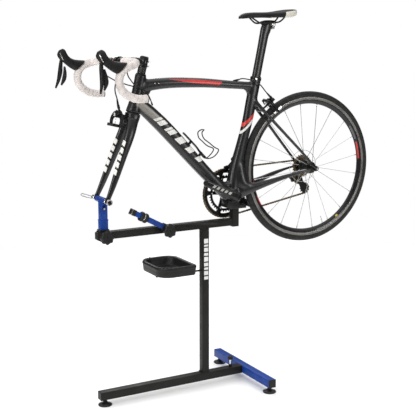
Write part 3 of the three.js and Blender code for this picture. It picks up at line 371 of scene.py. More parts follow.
def settle(obj, body, finish, replaces, bevel=0.0, angle=35, rounding=0):
    """Give a piece its finish, edges, body and the CAD nodes it stands for."""
    obj.data.materials.clear()
    obj.data.materials.append(finish.material)
    shade(obj.data, angle)
    if bevel:
        bevelled(obj, bevel)
    if rounding:
        surface = obj.modifiers.new("rounding", "SUBSURF")
        surface.levels = surface.render_levels = rounding
    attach(obj, body)
    if replaces:
        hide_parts(*replaces)
    return obj


def keep(node, finish, bevel):
    """A CAD node that stays as it is, with eased edges and its own finish."""
    obj = frame["nodes"][node]
    obj.data.materials.clear()
    obj.data.materials.append(finish.material)
    shade(obj.data, 30)
    weld = obj.modifiers.new("weld", "WELD")
    weld.merge_threshold = 0.01 * MM
    bevelled(obj, bevel, 3, 30)


def reskin(obj, voxel):
    """Remesh the object as one skin of small squares of `voxel` millimetres."""
    skin = obj.modifiers.new("skin", "REMESH")
    skin.mode = "VOXEL"
    skin.voxel_size = voxel * MM


def fused(name, shapes, voxel, passes, room=None):
    """One continuous moulded skin over several shapes, with soft inner corners and `room` cut away."""
    obj = in_scene(name, mesh_of(name, shapes, BIKE))
    reskin(obj, voxel)
    if room:
        cutter = in_scene("cutter", mesh_of("cutter", [room], BIKE))
        cut = obj.modifiers.new("cut", "BOOLEAN")
        cut.operation = "DIFFERENCE"
        cut.solver = "EXACT"
        cut.object = cutter
        reskin(obj, voxel)
    relax = obj.modifiers.new("relax", "SMOOTH")
    relax.factor = 0.5
    relax.iterations = passes
    graph = bpy.context.evaluated_depsgraph_get()
    obj.data = bpy.data.meshes.new_from_object(obj.evaluated_get(graph))
    obj.modifiers.clear()
    if room:
        bpy.data.objects.remove(cutter)
    return obj


# -------------------------------------------------------------------- finishes
def add_node(tree, kind, inputs, **settings):
    """A new shader node, with its inputs linked or set and its settings made."""
    node = tree.nodes.new(kind)
    for key, value in settings.items():
        setattr(node, key, value)
    for socket, value in dict(inputs).items():
        if isinstance(value, bpy.types.NodeSocket):
            tree.links.new(value, node.inputs[socket])
        else:
            node.inputs[socket].default_value = value
    return node


class Finish:
    """One procedural material on a Principled shader, and the record's slot that it belongs to."""

    def __init__(self, name, slot, color, roughness, metallic=0.0, **sockets):
        self.slot = slot
        self.material = bpy.data.materials.new(name)
        self.material.use_nodes = True
        self.tree = self.material.node_tree
        self.shader = self.tree.nodes["Principled BSDF"]
        self.color = color
        self.shader.inputs["Base Color"].default_value = (*color, 1)
        self.shader.inputs["Roughness"].default_value = roughness
        self.shader.inputs["Metallic"].default_value = metallic
        for socket, value in sockets.items():
            self.shader.inputs[socket.replace("_", " ")].default_value = value
        self.place = self.node("ShaderNodeTexCoord").outputs["Object"]

    def node(self, kind, inputs=(), **settings):
        return add_node(self.tree, kind, inputs, **settings)

    def link(self, output, socket):
        self.tree.links.new(output, self.shader.inputs[socket])

    def math(self, operation, *values, clamp=False):
        """One arithmetic step on numbers or outputs."""
        node = self.node("ShaderNodeMath", enumerate(values), operation=operation, use_clamp=clamp)
        return node.outputs[0]

    def ramp(self, value, low, high, start=0.0, end=1.0):
        """Soft step from `start` to `end` while the value goes from low to high."""
        inputs = {"Value": value, "From Min": low, "From Max": high, "To Min": start, "To Max": end}
        return self.node("ShaderNodeMapRange", inputs, interpolation_type="SMOOTHSTEP").outputs[0]

    def noise(self, scale, detail=3.0, stretch=None):
        place = self.place
        if stretch:
            place = self.node("ShaderNodeMapping", {"Vector": place, "Scale": stretch}).outputs[0]
        inputs = {"Vector": place, "Scale": scale, "Detail": detail}
        return self.node("ShaderNodeTexNoise", inputs).outputs["Fac"]

    def mixed(self, mask, first, second):
        """Blend of two colours by a mask."""
        inputs = {0: mask, 6: first, 7: second}
        return self.node("ShaderNodeMix", inputs, data_type="RGBA").outputs[2]

    def base(self):
        """What the base colour is now: a link's output, or the plain colour."""
        links = self.shader.inputs["Base Color"].links
        return links[0].from_socket if links else (*self.color, 1)

    def paint(self, mask, color):
        """Lay a colour over the present one where the mask is set."""
        self.link(self.mixed(mask, self.base(), (*color, 1)), "Base Color")

    def mottle(self, scale, amount, detail=4.0):
        """Lighter and darker clouds in the colour."""
        shades = [tuple(min(1, c * (1 + sign * amount)) for c in self.color) for sign in (-1, 1)]
        mask = self.ramp(self.noise(scale, detail), 0.3, 0.7)
        self.link(self.mixed(mask, (*shades[0], 1), (*shades[1], 1)), "Base Color")
        return self

    def worn(self, scale, low, high, stretch=None):
        """Roughness that wanders between low and high."""
        self.link(self.ramp(self.noise(scale, 5.0, stretch), 0.3, 0.7, low, high), "Roughness")
        return self

    def bumped(self, height, depth, strength=1.0):
        """Relief of a depth in millimetres, on top of any relief already there."""
        inputs = {"Height": height, "Distance": depth * MM, "Strength": strength}
        normal = self.shader.inputs["Normal"]
        if normal.links:
            inputs["Normal"] = normal.links[0].from_socket
        self.link(self.node("ShaderNodeBump", inputs).outputs[0], "Normal")
        return self

    def grain(self, size, depth, strength=0.6, detail=2.0, stretch=None):
        """Bump of about `size` millimetres across."""
        return self.bumped(self.noise(1 / (size * MM), detail, stretch), depth, strength)

    def distance(self, origin, direction):
        """How far the surface lies past a plane, in metres."""
        inputs = {0: self.place, 1: direction}
        reach = self.node("ShaderNodeVectorMath", inputs, operation="DOT_PRODUCT").outputs["Value"]
        return self.math("SUBTRACT", reach, Vector(direction).dot(origin))

    def patch(self, corners, place=BIKE, blur=0.5):
        """Mask of a convex outline of side-view [x, z] corners, in millimetres."""
        spots = [place @ Vector((x, 0, z)) for x, z in corners]
        middle = sum(spots, Vector()) / len(spots)
        mask = None
        for a, b in zip(spots, spots[1:] + spots[:1]):
            inward = Y.cross(b - a).normalized()
            if inward.dot(middle - a) < 0:
                inward = -inward
            edge = self.ramp(self.distance(a, inward), -blur * MM, blur * MM)
            mask = edge if mask is None else self.math("MULTIPLY", mask, edge)
        return mask

    def round_axle(self, centre):
        """Distance from an axle along Y, in metres, and the angle round it."""
        away = self.node("ShaderNodeVectorMath", {0: self.place, 1: centre}, operation="SUBTRACT")
        offset = away.outputs[0]
        parts = self.node("ShaderNodeSeparateXYZ", {0: offset}).outputs
        squares = [self.math("MULTIPLY", parts[axis], parts[axis]) for axis in ("X", "Z")]
        radius = self.math("POWER", self.math("ADD", *squares), 0.5)
        return radius, self.math("ARCTAN2", parts["Z"], parts["X"])

    def between(self, value, low, high, blur):
        """Mask of the values from low to high."""
        return self.math("MULTIPLY", self.ramp(value, low - blur, low + blur),
                         self.ramp(value, high + blur, high - blur))


def woven(name, slot, color=(0.006, 0.006, 0.0062)):
    """Clear-coated twill: dark tows that catch the light in two directions."""
    coat = {"Coat_Weight": 0.9, "Coat_Roughness": 0.27, "Specular_IOR_Level": 0.12}
    finish = Finish(name, slot, color, 0.42, 0.0, **coat)
    tow = 1.6 * MM
    waves = []
    for axis in ("X", "Z"):
        inputs = {"Vector": finish.place, "Scale": 0.05 / tow}
        waves.append(finish.node("ShaderNodeTexWave", inputs, bands_direction=axis).outputs["Fac"])
    squares = finish.node("ShaderNodeTexChecker", {"Vector": finish.place, "Scale": 0.5 / tow}).outputs["Fac"]
    weave = finish.node("ShaderNodeMix", {0: squares, 2: waves[0], 3: waves[1]}).outputs[0]
    bright = tuple(c * 1.9 for c in color)
    finish.link(finish.mixed(weave, (*color, 1), (*bright, 1)), "Base Color")
    finish.worn(9, 0.34, 0.5)
    return finish


def slanted_bars(start, end, count, half, cover=0.62, lean=14):
    """Corners of a row of slanted bars between two side-view points."""
    start, end = Vector(start), Vector(end)
    step = (end - start) / count
    across = Vector((-step.y, step.x)).normalized() * half
    tilt = step.normalized() * lean / 2
    bars = []
    for i in range(count):
        near = start + step * i
        far = near + step * cover
        bars.append([near + across + tilt, far + across + tilt, far - across - tilt, near - across - tilt])
    return bars


RED = (0.62, 0.035, 0.03)
PALE = (0.8, 0.78, 0.74)


def frame_finish():
    finish = woven("frame_composite", "gloss_black")
    # Painted highlight: a soft warm grey strip along the upper side of the down tube below the head tube.
    painted_highlight = [(-405, 452), (-330, 385), (-300, 352), (-318, 340), (-352, 366), (-420, 430)]
    finish.paint(finish.patch(painted_highlight, blur=5), (0.26, 0.245, 0.22))
    for share, cover in ((0, 0.1), (0.06, 0.2)):
        for bar in slanted_bars((-330 + 219 * share, 367 - 225 * share), (-111, 142), 5, 15, cover * 2, 20):
            finish.paint(finish.patch(bar), PALE)
    finish.paint(finish.patch([(-268, 517), (-144, 505), (-15, 484), (-30, 472), (-146, 490)]), RED)
    finish.paint(finish.patch([(40, 238), (40, 244), (140, 330), (140, 312)]), PALE)
    finish.paint(finish.patch([(56, 272), (78, 300), (140, 345), (140, 328)]), RED)
    finish.paint(finish.patch([(84, 364), (96, 364), (101, 382), (89, 382)]), PALE)
    finish.paint(finish.patch([(214, 316), (246, 278), (250, 282), (218, 320)]), RED)
    return finish


def fork_finish():
    finish = woven("fork_composite", "gloss_black")
    for bar in slanted_bars((-494, 300), (-556, 165), 5, 8, 0.7, 8):
        finish.paint(finish.patch(bar), PALE)
    return finish


def crank_finish():
    finish = Finish("crank_skin", "black_alloy", (0.014, 0.0138, 0.0135), 0.28, 0.3,
                    Coat_Weight=0.5, Coat_Roughness=0.12, Specular_IOR_Level=0.15)
    finish.mottle(70, 0.25).worn(25, 0.22, 0.36)
    end = Vector((math.cos(CRANK_ANGLE), math.sin(CRANK_ANGLE))) * CRANK
    for bar in slanted_bars(end * 0.8, end * 0.2, 5, 6, 0.6, 6):
        finish.paint(finish.patch(bar), (0.5, 0.49, 0.46))
    return finish


def powder(name, slot, color, roughness):
    finish = Finish(name, slot, color, roughness, 0.0, Specular_IOR_Level=0.2)
    finish.mottle(40, 0.12).worn(14, roughness - 0.07, roughness + 0.09)
    return finish.grain(1.3, 0.06, 0.5)


def rim_finish():
    finish = Finish("rim_composite", "black_alloy", (0.012, 0.012, 0.013), 0.3, 0.0,
                    Coat_Weight=0.5, Coat_Roughness=0.08, Specular_IOR_Level=0.15)
    finish.mottle(60, 0.25).worn(18, 0.26, 0.4)
    radius, angle = finish.round_axle(BIKE @ REAR_AXLE)
    marks = [
        # degrees from level, inner radius, outer radius, colour
        (4, 20, 284, 290, RED), (23, 37, 284, 291, (0.12, 0.12, 0.12)), (-172, -165, 283, 288, RED),
        (-157, -148, 283, 289, RED), (-56, -53.5, 286, 293, (0.6, 0.42, 0.06)),
    ]
    for start, end, low, high, color in marks:
        arc = finish.between(angle, math.radians(start), math.radians(end), 0.003)
        ring = finish.between(radius, low * MM, high * MM, 0.0003)
        finish.paint(finish.math("MULTIPLY", arc, ring), color)
    track = finish.ramp(radius, 0.2992, 0.2996)
    grooves = finish.math("SINE", finish.math("MULTIPLY", radius, TURN / 0.0009))
    finish.bumped(finish.math("MULTIPLY", grooves, track), 0.05, 0.5)
    finish.paint(track, (0.3, 0.29, 0.275))
    finish.link(finish.ramp(track, 0, 1, 0.0, 0.95), "Metallic")
    return finish


def tyre_finish():
    finish = Finish("tyre_rubber", "tyre", (0.016, 0.0155, 0.015), 0.5, 0.0, Specular_IOR_Level=0.3)
    finish.mottle(70, 0.3).worn(30, 0.5, 0.72)
    radius, angle = finish.round_axle(BIKE @ REAR_AXLE)
    slant = finish.math("ADD", finish.math("MULTIPLY", angle, 900), finish.math("MULTIPLY", radius, 2500))
    return finish.bumped(finish.math("SINE", slant), 0.12, 0.35)


def saddle_finish():
    finish = Finish("saddle_cover", "padding", (0.012, 0.0118, 0.0115), 0.42, 0.0, Specular_IOR_Level=0.25)
    finish.mottle(50, 0.25).worn(25, 0.36, 0.5)
    finish.grain(1.1, 0.12, 0.5)
    tail = finish.patch([(281, 722), (287, 751), (345, 755.5), (372, 755), (372, 716), (281, 716)], blur=0.8)
    finish.paint(tail, (0.74, 0.71, 0.62))
    return finish


def mast_finish():
    finish = powder("mast_powder", "black_steel", (0.012, 0.0115, 0.0105), 0.46)
    front = finish.ramp(finish.distance(Vector((0, -15.7 * MM, 0)), -Y), 0, 0.0002)
    top = 657
    for tall in (20, 8, 17, 12, 20, 15, 10, 18, 14):
        mark = finish.patch([(-9, top), (11, top), (11, top - tall), (-9, top - tall)], STAND, 0.3)
        finish.paint(finish.math("MULTIPLY", mark, front), (0.8, 0.8, 0.78))
        top -= tall + 5.5
    return finish


def brushed(name, slot, color, roughness, metallic=1.0):
    finish = Finish(name, slot, color, roughness, metallic)
    finish.mottle(120, 0.14).worn(45, roughness - 0.06, roughness + 0.1, (1, 6, 1))
    return finish.grain(0.5, 0.02, 0.35, 3.0, (1, 5, 1))


FRAME_SKIN = frame_finish()
FORK_SKIN = fork_finish()
WOVEN = woven("post_composite", "gloss_black", (0.012, 0.0115, 0.011))
BLACK_POWDER = powder("black_powder", "black_steel", (0.012, 0.0115, 0.0105), 0.44)
MAST_POWDER = mast_finish()
BLUE_POWDER = powder("blue_powder", "blue_steel", (0.01, 0.045, 0.24), 0.38)
PLASTIC = Finish("black_plastic", "black_plastic", (0.01, 0.01, 0.0095), 0.45, 0.0, Specular_IOR_Level=0.25)
PLASTIC.mottle(60, 0.2).grain(0.9, 0.1, 0.6)
RUBBER = Finish("hood_rubber", "rubber", (0.009, 0.0088, 0.0085), 0.5, 0.0, Specular_IOR_Level=0.25)
RUBBER.mottle(60, 0.25).worn(20, 0.45, 0.65)
RUBBER.grain(1.4, 0.12, 0.5)
FOOT_RUBBER = Finish("foot_rubber", "rubber", (0.01, 0.01, 0.0098), 0.32, 0.0, Specular_IOR_Level=0.3)
FOOT_RUBBER.mottle(40, 0.25).grain(1.2, 0.1, 0.4)
BLACK_ALLOY = brushed("black_alloy", "black_alloy", (0.02, 0.0195, 0.019), 0.34, 0.6)
BLACK_ALLOY.shader.inputs["Specular IOR Level"].default_value = 0.2
GLOSS_ALLOY = Finish("gloss_alloy", "black_alloy", (0.014, 0.0138, 0.0135), 0.28, 0.3,
                     Coat_Weight=0.5, Coat_Roughness=0.1, Specular_IOR_Level=0.15)
GLOSS_ALLOY.mottle(70, 0.25).worn(25, 0.22, 0.36)
CRANK_SKIN = crank_finish()
SILVER = brushed("polished_alloy", "silver", (0.72, 0.71, 0.69), 0.24)
STEEL = brushed("spoke_steel", "spoke_steel", (0.55, 0.55, 0.55), 0.3)
BRONZE = brushed("chain_bronze", "chain_metal", (0.15, 0.11, 0.07), 0.38, 0.9)
DARK_STEEL = brushed("sprocket_steel", "chain_metal", (0.1, 0.083, 0.062), 0.38, 0.9)
TAPE = Finish("bar_tape", "bar_tape", (0.7, 0.64, 0.61), 0.72, 0.0, Sheen_Weight=0.2, Sheen_Roughness=0.5)
TAPE.mottle(45, 0.12).worn(40, 0.65, 0.85).grain(2.6, 0.12, 0.4)
TYRE = tyre_finish()
RIM = rim_finish()
SADDLE = saddle_finish()
CABLE = Finish("cable_sleeve", "cable_cover", (0.012, 0.012, 0.012), 0.4, 0.0, Specular_IOR_Level=0.3)
CABLE.mottle(90, 0.2).worn(60, 0.32, 0.5)
CABLE.grain(0.8, 0.05, 0.4)
RED_ANODISED = brushed("red_anodised", "silver", (0.6, 0.03, 0.03), 0.3, 0.8)
PAD = Finish("brake_pad", "rubber", (0.03, 0.03, 0.03), 0.8).mottle(60, 0.3).grain(0.9, 0.12, 0.6)


# ----------------------------------------------------------------- frame tubes
DOWN_TUBE = [[-400, 0, 434, 27, 18], [-349, 0, 384, 30, 20], [-111, 0, 107, 27, 23], [-13, 0, -5, 24, 31]]
DOWN_TUBE_WAY, DOWN_TUBE_UP = Vector((-0.651, 0, 0.759)), Vector((0.759, 0, 0.651))
TOP_TUBE = [
    [-384, 0, 499, 27, 17], [-318, 0, 502, 24, 19], [-130, 0, 490, 20, 19], [60, 0, 463, 17, 16],
    [140, 0, 452, 17, 14],
]
SEAT_TUBE = [
    [*seat(SEAT_TOP), 24, 16.5], [133, 0, 402, 25, 17], [103, 0, 300, 23, 18],
    [67, 0, 200, 24, 19], [36, 0, 110, 29, 23], [8, 0, 10, 30, 31],
]
HEAD_SIZES = [[4, 33, 24], [50, 26, 21], [120, 23, 19], [160, 24, 20]]
HEAD_TUBE = [[*steer(d), a, b] for d, a, b in HEAD_SIZES]


CHAINSTAY = [
    [22, 18, 3, 30, 12], [62, 28, 13, 24, 9.5], [110, 34, 23, 20, 8.5], [190, 43, 37, 14, 8],
    [260, 53, 50, 11, 7], [350, 67, 61, 7, 5], [398, 69, 65.5, 6.5, 3.6],
]
SEATSTAY = [
    [128, 6, 404, 13, 7], [160, 20, 362, 10, 7], [250, 40, 254, 8, 6.5], [340, 60, 146, 7.5, 6],
    [396, 69, 78, 7.5, 3.6],
]
# Broad moulding beside the bottom bracket, from the seat tube's foot into a chainstay.
ROOT_WEB = [
    [50, 10, 140, 22, 10], [49, 13, 104, 25, 14], [50, 17, 70, 28, 17], [56, 22, 42, 28, 16],
    [78, 27, 26, 24, 12], [118, 34, 25, 17, 9],
]
DROPOUT_Y = 68.7


def corner_webs():
    """Curved webs in the corners of the main triangle."""
    return [
        sweep([[96, 0, 449, 8, 11], [110, 0, 441, 9, 12], [118, 0, 426, 8, 12]], 20),
        sweep([[-378, 0, 448, 10, 14], [-366, 0, 464, 11, 14], [-350, 0, 477, 9, 14]], 20),
        sweep([[-54, 0, 62, 10, 18], [-22, 0, 44, 16, 20], [14, 0, 48, 18, 20], [40, 0, 84, 14, 17]], 20),
    ]


def tyre_room(gap):
    """The space that the frame leaves free round the tyre."""
    return lathe([[TYRE_RADIUS + gap, -19], [TYRE_RADIUS + gap, 19]], REAR_AXLE, Y, 128)


def build_frame():
    """Moulded frame: main tubes, stays, webs and yokes in one skin, cut clear of the tyre."""
    shapes = [
        sweep(DOWN_TUBE, 32, 2.7), sweep(TOP_TUBE, 32, 2.4), sweep(SEAT_TUBE, 32, 2.4),
        sweep(HEAD_TUBE, 32), cross_rod(0, 0, -34, 34, 25, 40),
    ]
    for rows, sides in ((CHAINSTAY, 20), (SEATSTAY, 18), (ROOT_WEB, 28)):
        shapes += [sweep(mirrored(rows, s), sides) for s in (-1, 1)]
    shapes += corner_webs()
    shapes += [box((20, -24, -10), (57, 24, 16)), box((128, -13, 378), (156, 13, 404))]  # yokes of the stays
    shapes.append(cross_rod(BRIDGE.x, BRIDGE.z, -26, 26, 7))
    shell = fused("frame_shell", shapes, 2.2, 38, tyre_room(4.5))
    settle(shell, "beam", FRAME_SKIN, ["frame_main", "frame_stays"], angle=60)
    build_frame_metal()
    build_frame_trim()


def build_frame_metal():
    """Metal ends of the frame: dropouts, rear brake bolt, bracket cups and headset rings."""
    dropouts = []
    for y in (-DROPOUT_Y, DROPOUT_Y):
        dropouts.append(sweep([[374, y, 63, 6, 2.6], [396, y, 66, 9, 3.1]], 20, 2.6, Y, 4))
        dropouts.append(cross_rod(REAR_AXLE.x, REAR_AXLE.z, y - 3.2, y + 3.2, 12.5, 32, 0.8))
        dropouts.append(sweep([[382, y, 94, 6, 2.6], [396, y, 76, 9, 3.1]], 16, 2.4, Y, 4))
    make("frame_dropouts", "beam", BLACK_ALLOY, dropouts)
    bolt = rod(BRIDGE + BRIDGE_AHEAD * 6, BRIDGE + BRIDGE_AHEAD * 71, 4.4, 20, 0.8)
    make("rear_brake_bolt", "beam", BLACK_ALLOY, [bolt])
    cup = [[14, 33], [23.5, 33], [24.6, 35], [24.6, 40], [22.5, 42], [14, 42]]
    cups = [lathe(mirrored(cup, s), (0, 0, 0), Y, 40) for s in (-1, 1)]
    make("bracket_cups", "beam", BLACK_ALLOY, cups, bevel=0.4)
    rings = [
        lathe([[15, 0], [26, 0], [27, 1.5], [26, 4], [15, 4]], steer(0.2), STEER, 40),
        lathe([[15, 0], [21, 0], [20.5, 3.2], [18, 5], [15, 5]], steer(158.5), STEER, 40),
    ]
    make("headset_rings", "beam", BLACK_ALLOY, rings, bevel=0.3)


def build_frame_trim():
    """Small fittings on the frame: cable ports, cable stop and seat clamp."""
    port_rows = [[-333, 18.6, 507, 3.8, 1.2], [-322, 19.2, 506, 4.6, 1.4], [-311, 19.2, 505, 3.8, 1.2]]
    for s, side in SIDES:
        port = sweep(mirrored(port_rows, s), 18, 2, Y, 4, 2)
        make(f"cable_port_{side}", "beam", BLACK_ALLOY, [port])
        screws = [screw(Vector((x, s * 19.8, z)), Y * s, 2.2, 1.4, 12) for x, z in ((-330, 507), (-314, 505))]
        make(f"cable_port_screws_{side}", "beam", SILVER, screws)
    stop = sweep([[46, 0, 481.5, 3.5, 5], [58, 0, 482.5, 4.6, 6], [70, 0, 484, 3.8, 4.5]], 18, 2, Y, 4, 2)
    make("rear_cable_stop", "beam", BLACK_ALLOY, [stop])
    top = seat(SEAT_TOP)
    levels = [[0, -12], [1.8, -9], [2.2, -3], [1.6, 2]]
    rows = [[*(top + SEAT * d), 22.6 + grow, 15.4 + grow] for grow, d in levels]
    make("seat_clamp", "beam", BLACK_ALLOY, [sweep(rows, 32, 2.3, Y, 3)])
    for spot, name in ((top + Vector((26, 0, 0)), "rear"), (top + Vector((-13, -15, -3)), "side")):
        head = [rod(spot + Y * -7, spot + Y * 7, 3.2, 16, 0.5), screw(spot + Y * -6, -Y, 4.4, 3)]
        make(f"seat_clamp_bolt_{name}", "beam", SILVER, head)


def build_fork():
    """Fork crown and blades in one skin, with metal tips and the front brake's bolt."""
    crown = [[*steer(d), a, b] for d, a, b in ((-42, 25, 25), (-20, 29, 26.5), (2, 31.5, 24))]
    blade = [
        [-438, 20, 372, 25, 12], [-457, 33, 330, 22, 12], [-506, 45, 235, 18, 10],
        [-563, 53, 120, 12.5, 7], [-585, 56, 80, 10, 5.5],
    ]
    blades = [sweep(mirrored(blade, s), 28, 2.2) for s in (-1, 1)]
    shell = fused("fork_shell", [sweep(crown, 32, 2.4), *blades], 1.9, 8)
    settle(shell, "beam", FORK_SKIN, ["fork"], angle=60)
    tip = [[-582, 56, 86, 9, 4.2], [-588, 56, 74, 11, 4.6], [-590, 56, 62, 9, 4.6]]
    tips = [sweep(mirrored(tip, s), 20, 2.4, Y, 4, 2) for s in (-1, 1)]
    make("fork_tips", "beam", BLACK_ALLOY, tips)
    root = steer(-18)
    bolt = rod(root + AHEAD * 22, root + AHEAD * 79, 4.4, 20, 0.8)
    block = rod(root + AHEAD * 26, root + AHEAD * 55, 8, 28, 1)
    make("front_brake_spacer", "beam", BLACK_ALLOY, [block])
    make("front_brake_bolt", "beam", BLACK_ALLOY, [bolt])


# ------------------------------------------------------------------- front end
def build_stem():
    """Stem with its steerer clamp, spacers, top cap, bolts and face plate."""
    top = 226  # of the stem, along the steering axis
    cap = [[0, 0], [16.5, 0], [17.2, 1], [17.2, 4], [15, 6.5], [6, 7], [6, 5], [0, 5]]
    make("top_cap", "beam", GLOSS_ALLOY, [lathe(cap, steer(top), STEER, 40)])
    spacers = [rod(steer(low), steer(low + 7.6), 17, 40, 0.6) for low in (163, 171, 179)]
    make("stem_spacers", "beam", WOVEN, spacers)
    clamp = rod(steer(187), steer(top), 17.8, 40, 1.2)
    rows = [[*steer(206), 17, 15.5], [-400, 0, 601, 14, 14.5], [-440, 0, 604, 14, 16], [-457, 0, 604, 17, 20]]
    neck = sweep(rows, 32, 2.6)
    profile = [[16.2, -21], [20.6, -21], [21.2, -19], [21.2, 19], [20.6, 21], [16.2, 21]]
    clamp_back = lathe(profile, BAR, Y, 48)
    make("stem_body", "beam", GLOSS_ALLOY, [clamp, neck, clamp_back], ["stem"])
    pinch = [steer(d) - AHEAD * 19 for d in (197, 215)]
    bolts = [screw(p - Y * 11, -Y, 4, 3.4) for p in pinch]
    bolts += [rod(p - Y * 10, p + Y * 10, 3, 16) for p in pinch]
    corners = [BAR + Vector((-19.5, y, z)) for y in (-15, 15) for z in (-15, 15)]
    bolts += [screw(corner, -X, 3.8, 4) for corner in corners]
    make("stem_bolts", "beam", SILVER, bolts)
    plate = box(BAR + Vector((-24.2, -9, -7)), BAR + Vector((-20.8, 9, 7)))
    make("stem_face_badge", "beam", RED_ANODISED, [plate], bevel=0.8)


BAR_PATH = [
    [-475, 46, 604], [-475, 120, 604], [-479, 172, 603], [-494, 200, 600], [-520, BAR_HALF, 594],
    [-549, BAR_HALF, 580], [-565, BAR_HALF, 553], [-563, BAR_HALF, 520], [-540, BAR_HALF, 491],
    [-504, BAR_HALF, 473], [-459, BAR_HALF, 468],
]


def wrapped(rows, radius, lift, sides=26, spacing=2.0):
    """Tape wound round a bar: each turn rises by `lift` and drops quickly to the next one."""
    path = [Vector(r) for r in smooth(rows, 24)]
    even, reach, next_at = [path[0]], 0.0, spacing
    for a, b in zip(path, path[1:]):
        gap = (b - a).length
        while reach + gap >= next_at:
            even.append(a.lerp(b, (next_at - reach) / gap))
            next_at += spacing
        reach += gap
    rings = []
    for i, (point, _, u, w) in enumerate(frames(even)):
        ring = []
        for k in range(sides):
            share = k / sides
            phase = (i * spacing / TAPE_TURN + share) % 1.0
            size = radius + lift * phase - lift * 0.8 * max(0.0, phase - 0.9) / 0.1
            ring.append(point + u * math.cos(TURN * share) * size + w * math.sin(TURN * share) * size)
        rings.append(ring)
    return loft(rings)


def build_handlebar():
    """Bar centre, wound tape, collars and plugs, then the controls of each side."""
    middle = [lathe([[0, -40], [14, -40], [15.9, -36], [15.9, 36], [14, 40], [0, 40]], BAR, Y, 40)]
    halves = [tube([[BAR.x, s * y, BAR.z] for y in (36, 48, 70)], 11.8, 24, 3) for s in (-1, 1)]
    ends = [rod((-462, s * BAR_HALF, 468), (-458.6, s * BAR_HALF, 468), 11.5, 24, 0.6) for s in (-1, 1)]
    make("handlebar_tube", "beam", BLACK_ALLOY, middle + halves + ends, ["handlebar"])
    for s, side in SIDES:
        tape = wrapped(mirrored(BAR_PATH, s), 14.6, 1.7)
        make(f"wrapped_tape_{side}", "beam", TAPE, [tape], [f"bar_tape_{side}"], angle=50)
        collar = cross_rod(BAR.x, BAR.z, s * 45.4, s * 60, 16, 28, 0.5)
        make(f"tape_collar_{side}", "beam", CABLE, [collar])
        profile = [[0, 0], [13, 0], [15.5, 1.5], [15.5, 3.2], [0, 3.2]]
        plug = lathe(profile, (-459.5, s * BAR_HALF, 468), X, 28)
        make(f"bar_plug_{side}", "beam", PLASTIC, [plug])
        build_controls(s, side)


# Hood sections: lower and upper point in side view, half width, shift towards the middle.
HOOD = [
    [[-574, 571], [-530, 609], 20.5, 0], [[-592, 582], [-556, 613], 19.5, 0],
    [[-609, 596], [-579, 618], 17.5, 1], [[-623, 609], [-596, 628], 16.5, 3],
    [[-639, 624], [-606, 642], 16.5, 5], [[-646, 640], [-613, 657], 14.5, 7],
    [[-639, 656], [-622, 663], 8.5, 8],
]
# Rows for the right side; y is measured from the hood's middle plane.
LEVER = [
    [-629, -2, 622, 6, 6.5], [-633, 1, 600, 7.5, 7], [-636, 9, 568, 9, 9], [-643, 17, 537, 6.5, 8.5],
    [-654, 25.5, 508, 3, 5.5],
]
PADDLE = [
    [-619.5, -4, 590, 3.5, 5], [-618.5, 1, 566, 7, 6], [-621, 8, 543, 8.5, 6], [-633, 14, 518, 3.5, 5],
]


def beside_hood(rows, s):
    """Rows measured from a hood's middle plane, placed on one side."""
    return mirrored([[x, HOOD_Y + y, *rest] for x, y, *rest in rows], s)


def build_controls(s, side):
    """Hood, brake lever and shift paddle of one side."""
    lows = smooth([[low[0], 0, low[1], half, lean] for low, _, half, lean in HOOD], 4)
    highs = smooth([[high[0], 0, high[1], half, lean] for _, high, half, lean in HOOD], 4)
    rings = []
    for low, high in zip(lows, highs):
        across = Vector(high[:3]) - Vector(low[:3])
        centre = (Vector(high[:3]) + Vector(low[:3])) / 2 + Y * s * (HOOD_Y - low[4])
        rings.append(section(centre, across.normalized(), Y, across.length / 2, low[3], 28, 2.4))
    make(f"hood_cover_{side}", "beam", RUBBER, [loft(rings)], [f"hood_{side}"], bevel=1.5, angle=55)
    strips = []
    for face in (-s, s):
        rows = [
            [-638, face * 13.2 - 6, 646, 1.3, 2], [-634, face * 15.8 - 4, 632, 1.7, 2],
            [-628, face * 15.4 - 2.5, 619, 1.3, 2],
        ]
        strips.append(sweep(beside_hood(rows, s), 14, 2.4, Y, 5, 1.2))
    make(f"hood_strip_{side}", "beam", SILVER, strips)
    lever = sweep(beside_hood(LEVER, s), 24, 2.4, Y, 8, 2.5)
    y = s * (HOOD_Y - 2)
    hinge = cross_rod(-628, 621, y - 6, y + 6, 6, 24, 0.8)
    make(f"lever_blade_{side}", f"lever_{side}", BLACK_ALLOY, [lever, hinge], [f"brake_lever_{side}"])
    paddle = sweep(beside_hood(PADDLE, s), 24, 2.6, Y, 8, 2.0)
    make(f"paddle_blade_{side}", f"paddle_{side}", PLASTIC, [paddle], [f"shift_paddle_{side}"])


SHIFT_CABLE = [
    [-496, 128, 585], [-490, 118, 560], [-465, 92, 532], [-425, 48, 508], [-390, 30, 492],
    [-362, 24, 458], [-348, 21, 422],
]
CABLES = {
    # node: radius, path
    "brake_cable_front": (2.5, [
        [-500, -150, 584], [-512, -118, 566], [-519, -70, 530], [-511, -36, 490], [-502, -28, 461],
        [-500, -27, 441],
    ]),
    "brake_cable_rear": (2.5, [
        [64, 0, 482], [84, 0, 487], [110, -24, 482], [150, -34, 462], [186, -30, 424], [206, -26, 404],
    ]),
    "shift_cable_left": (2.4, mirrored(SHIFT_CABLE, -1)),
    "shift_cable_right": (2.4, SHIFT_CABLE),
}


def build_cables():
    for node, (radius, path) in CABLES.items():
        make(f"{node}_sleeve", "beam", CABLE, [tube(path, radius, 12, 10)], [node])
        start, end = Vector(path[0]), Vector(path[-1])
        ways = [(start, (Vector(path[1]) - start).normalized())]
        if node.startswith("shift"):
            ways.append((end, (Vector(path[-2]) - end).normalized()))
        ferrules = [rod(p, p + way * 11, radius + 0.8, 16, 0.5) for p, way in ways]
        make(f"{node}_ferrules", "beam", BLACK_ALLOY, ferrules)


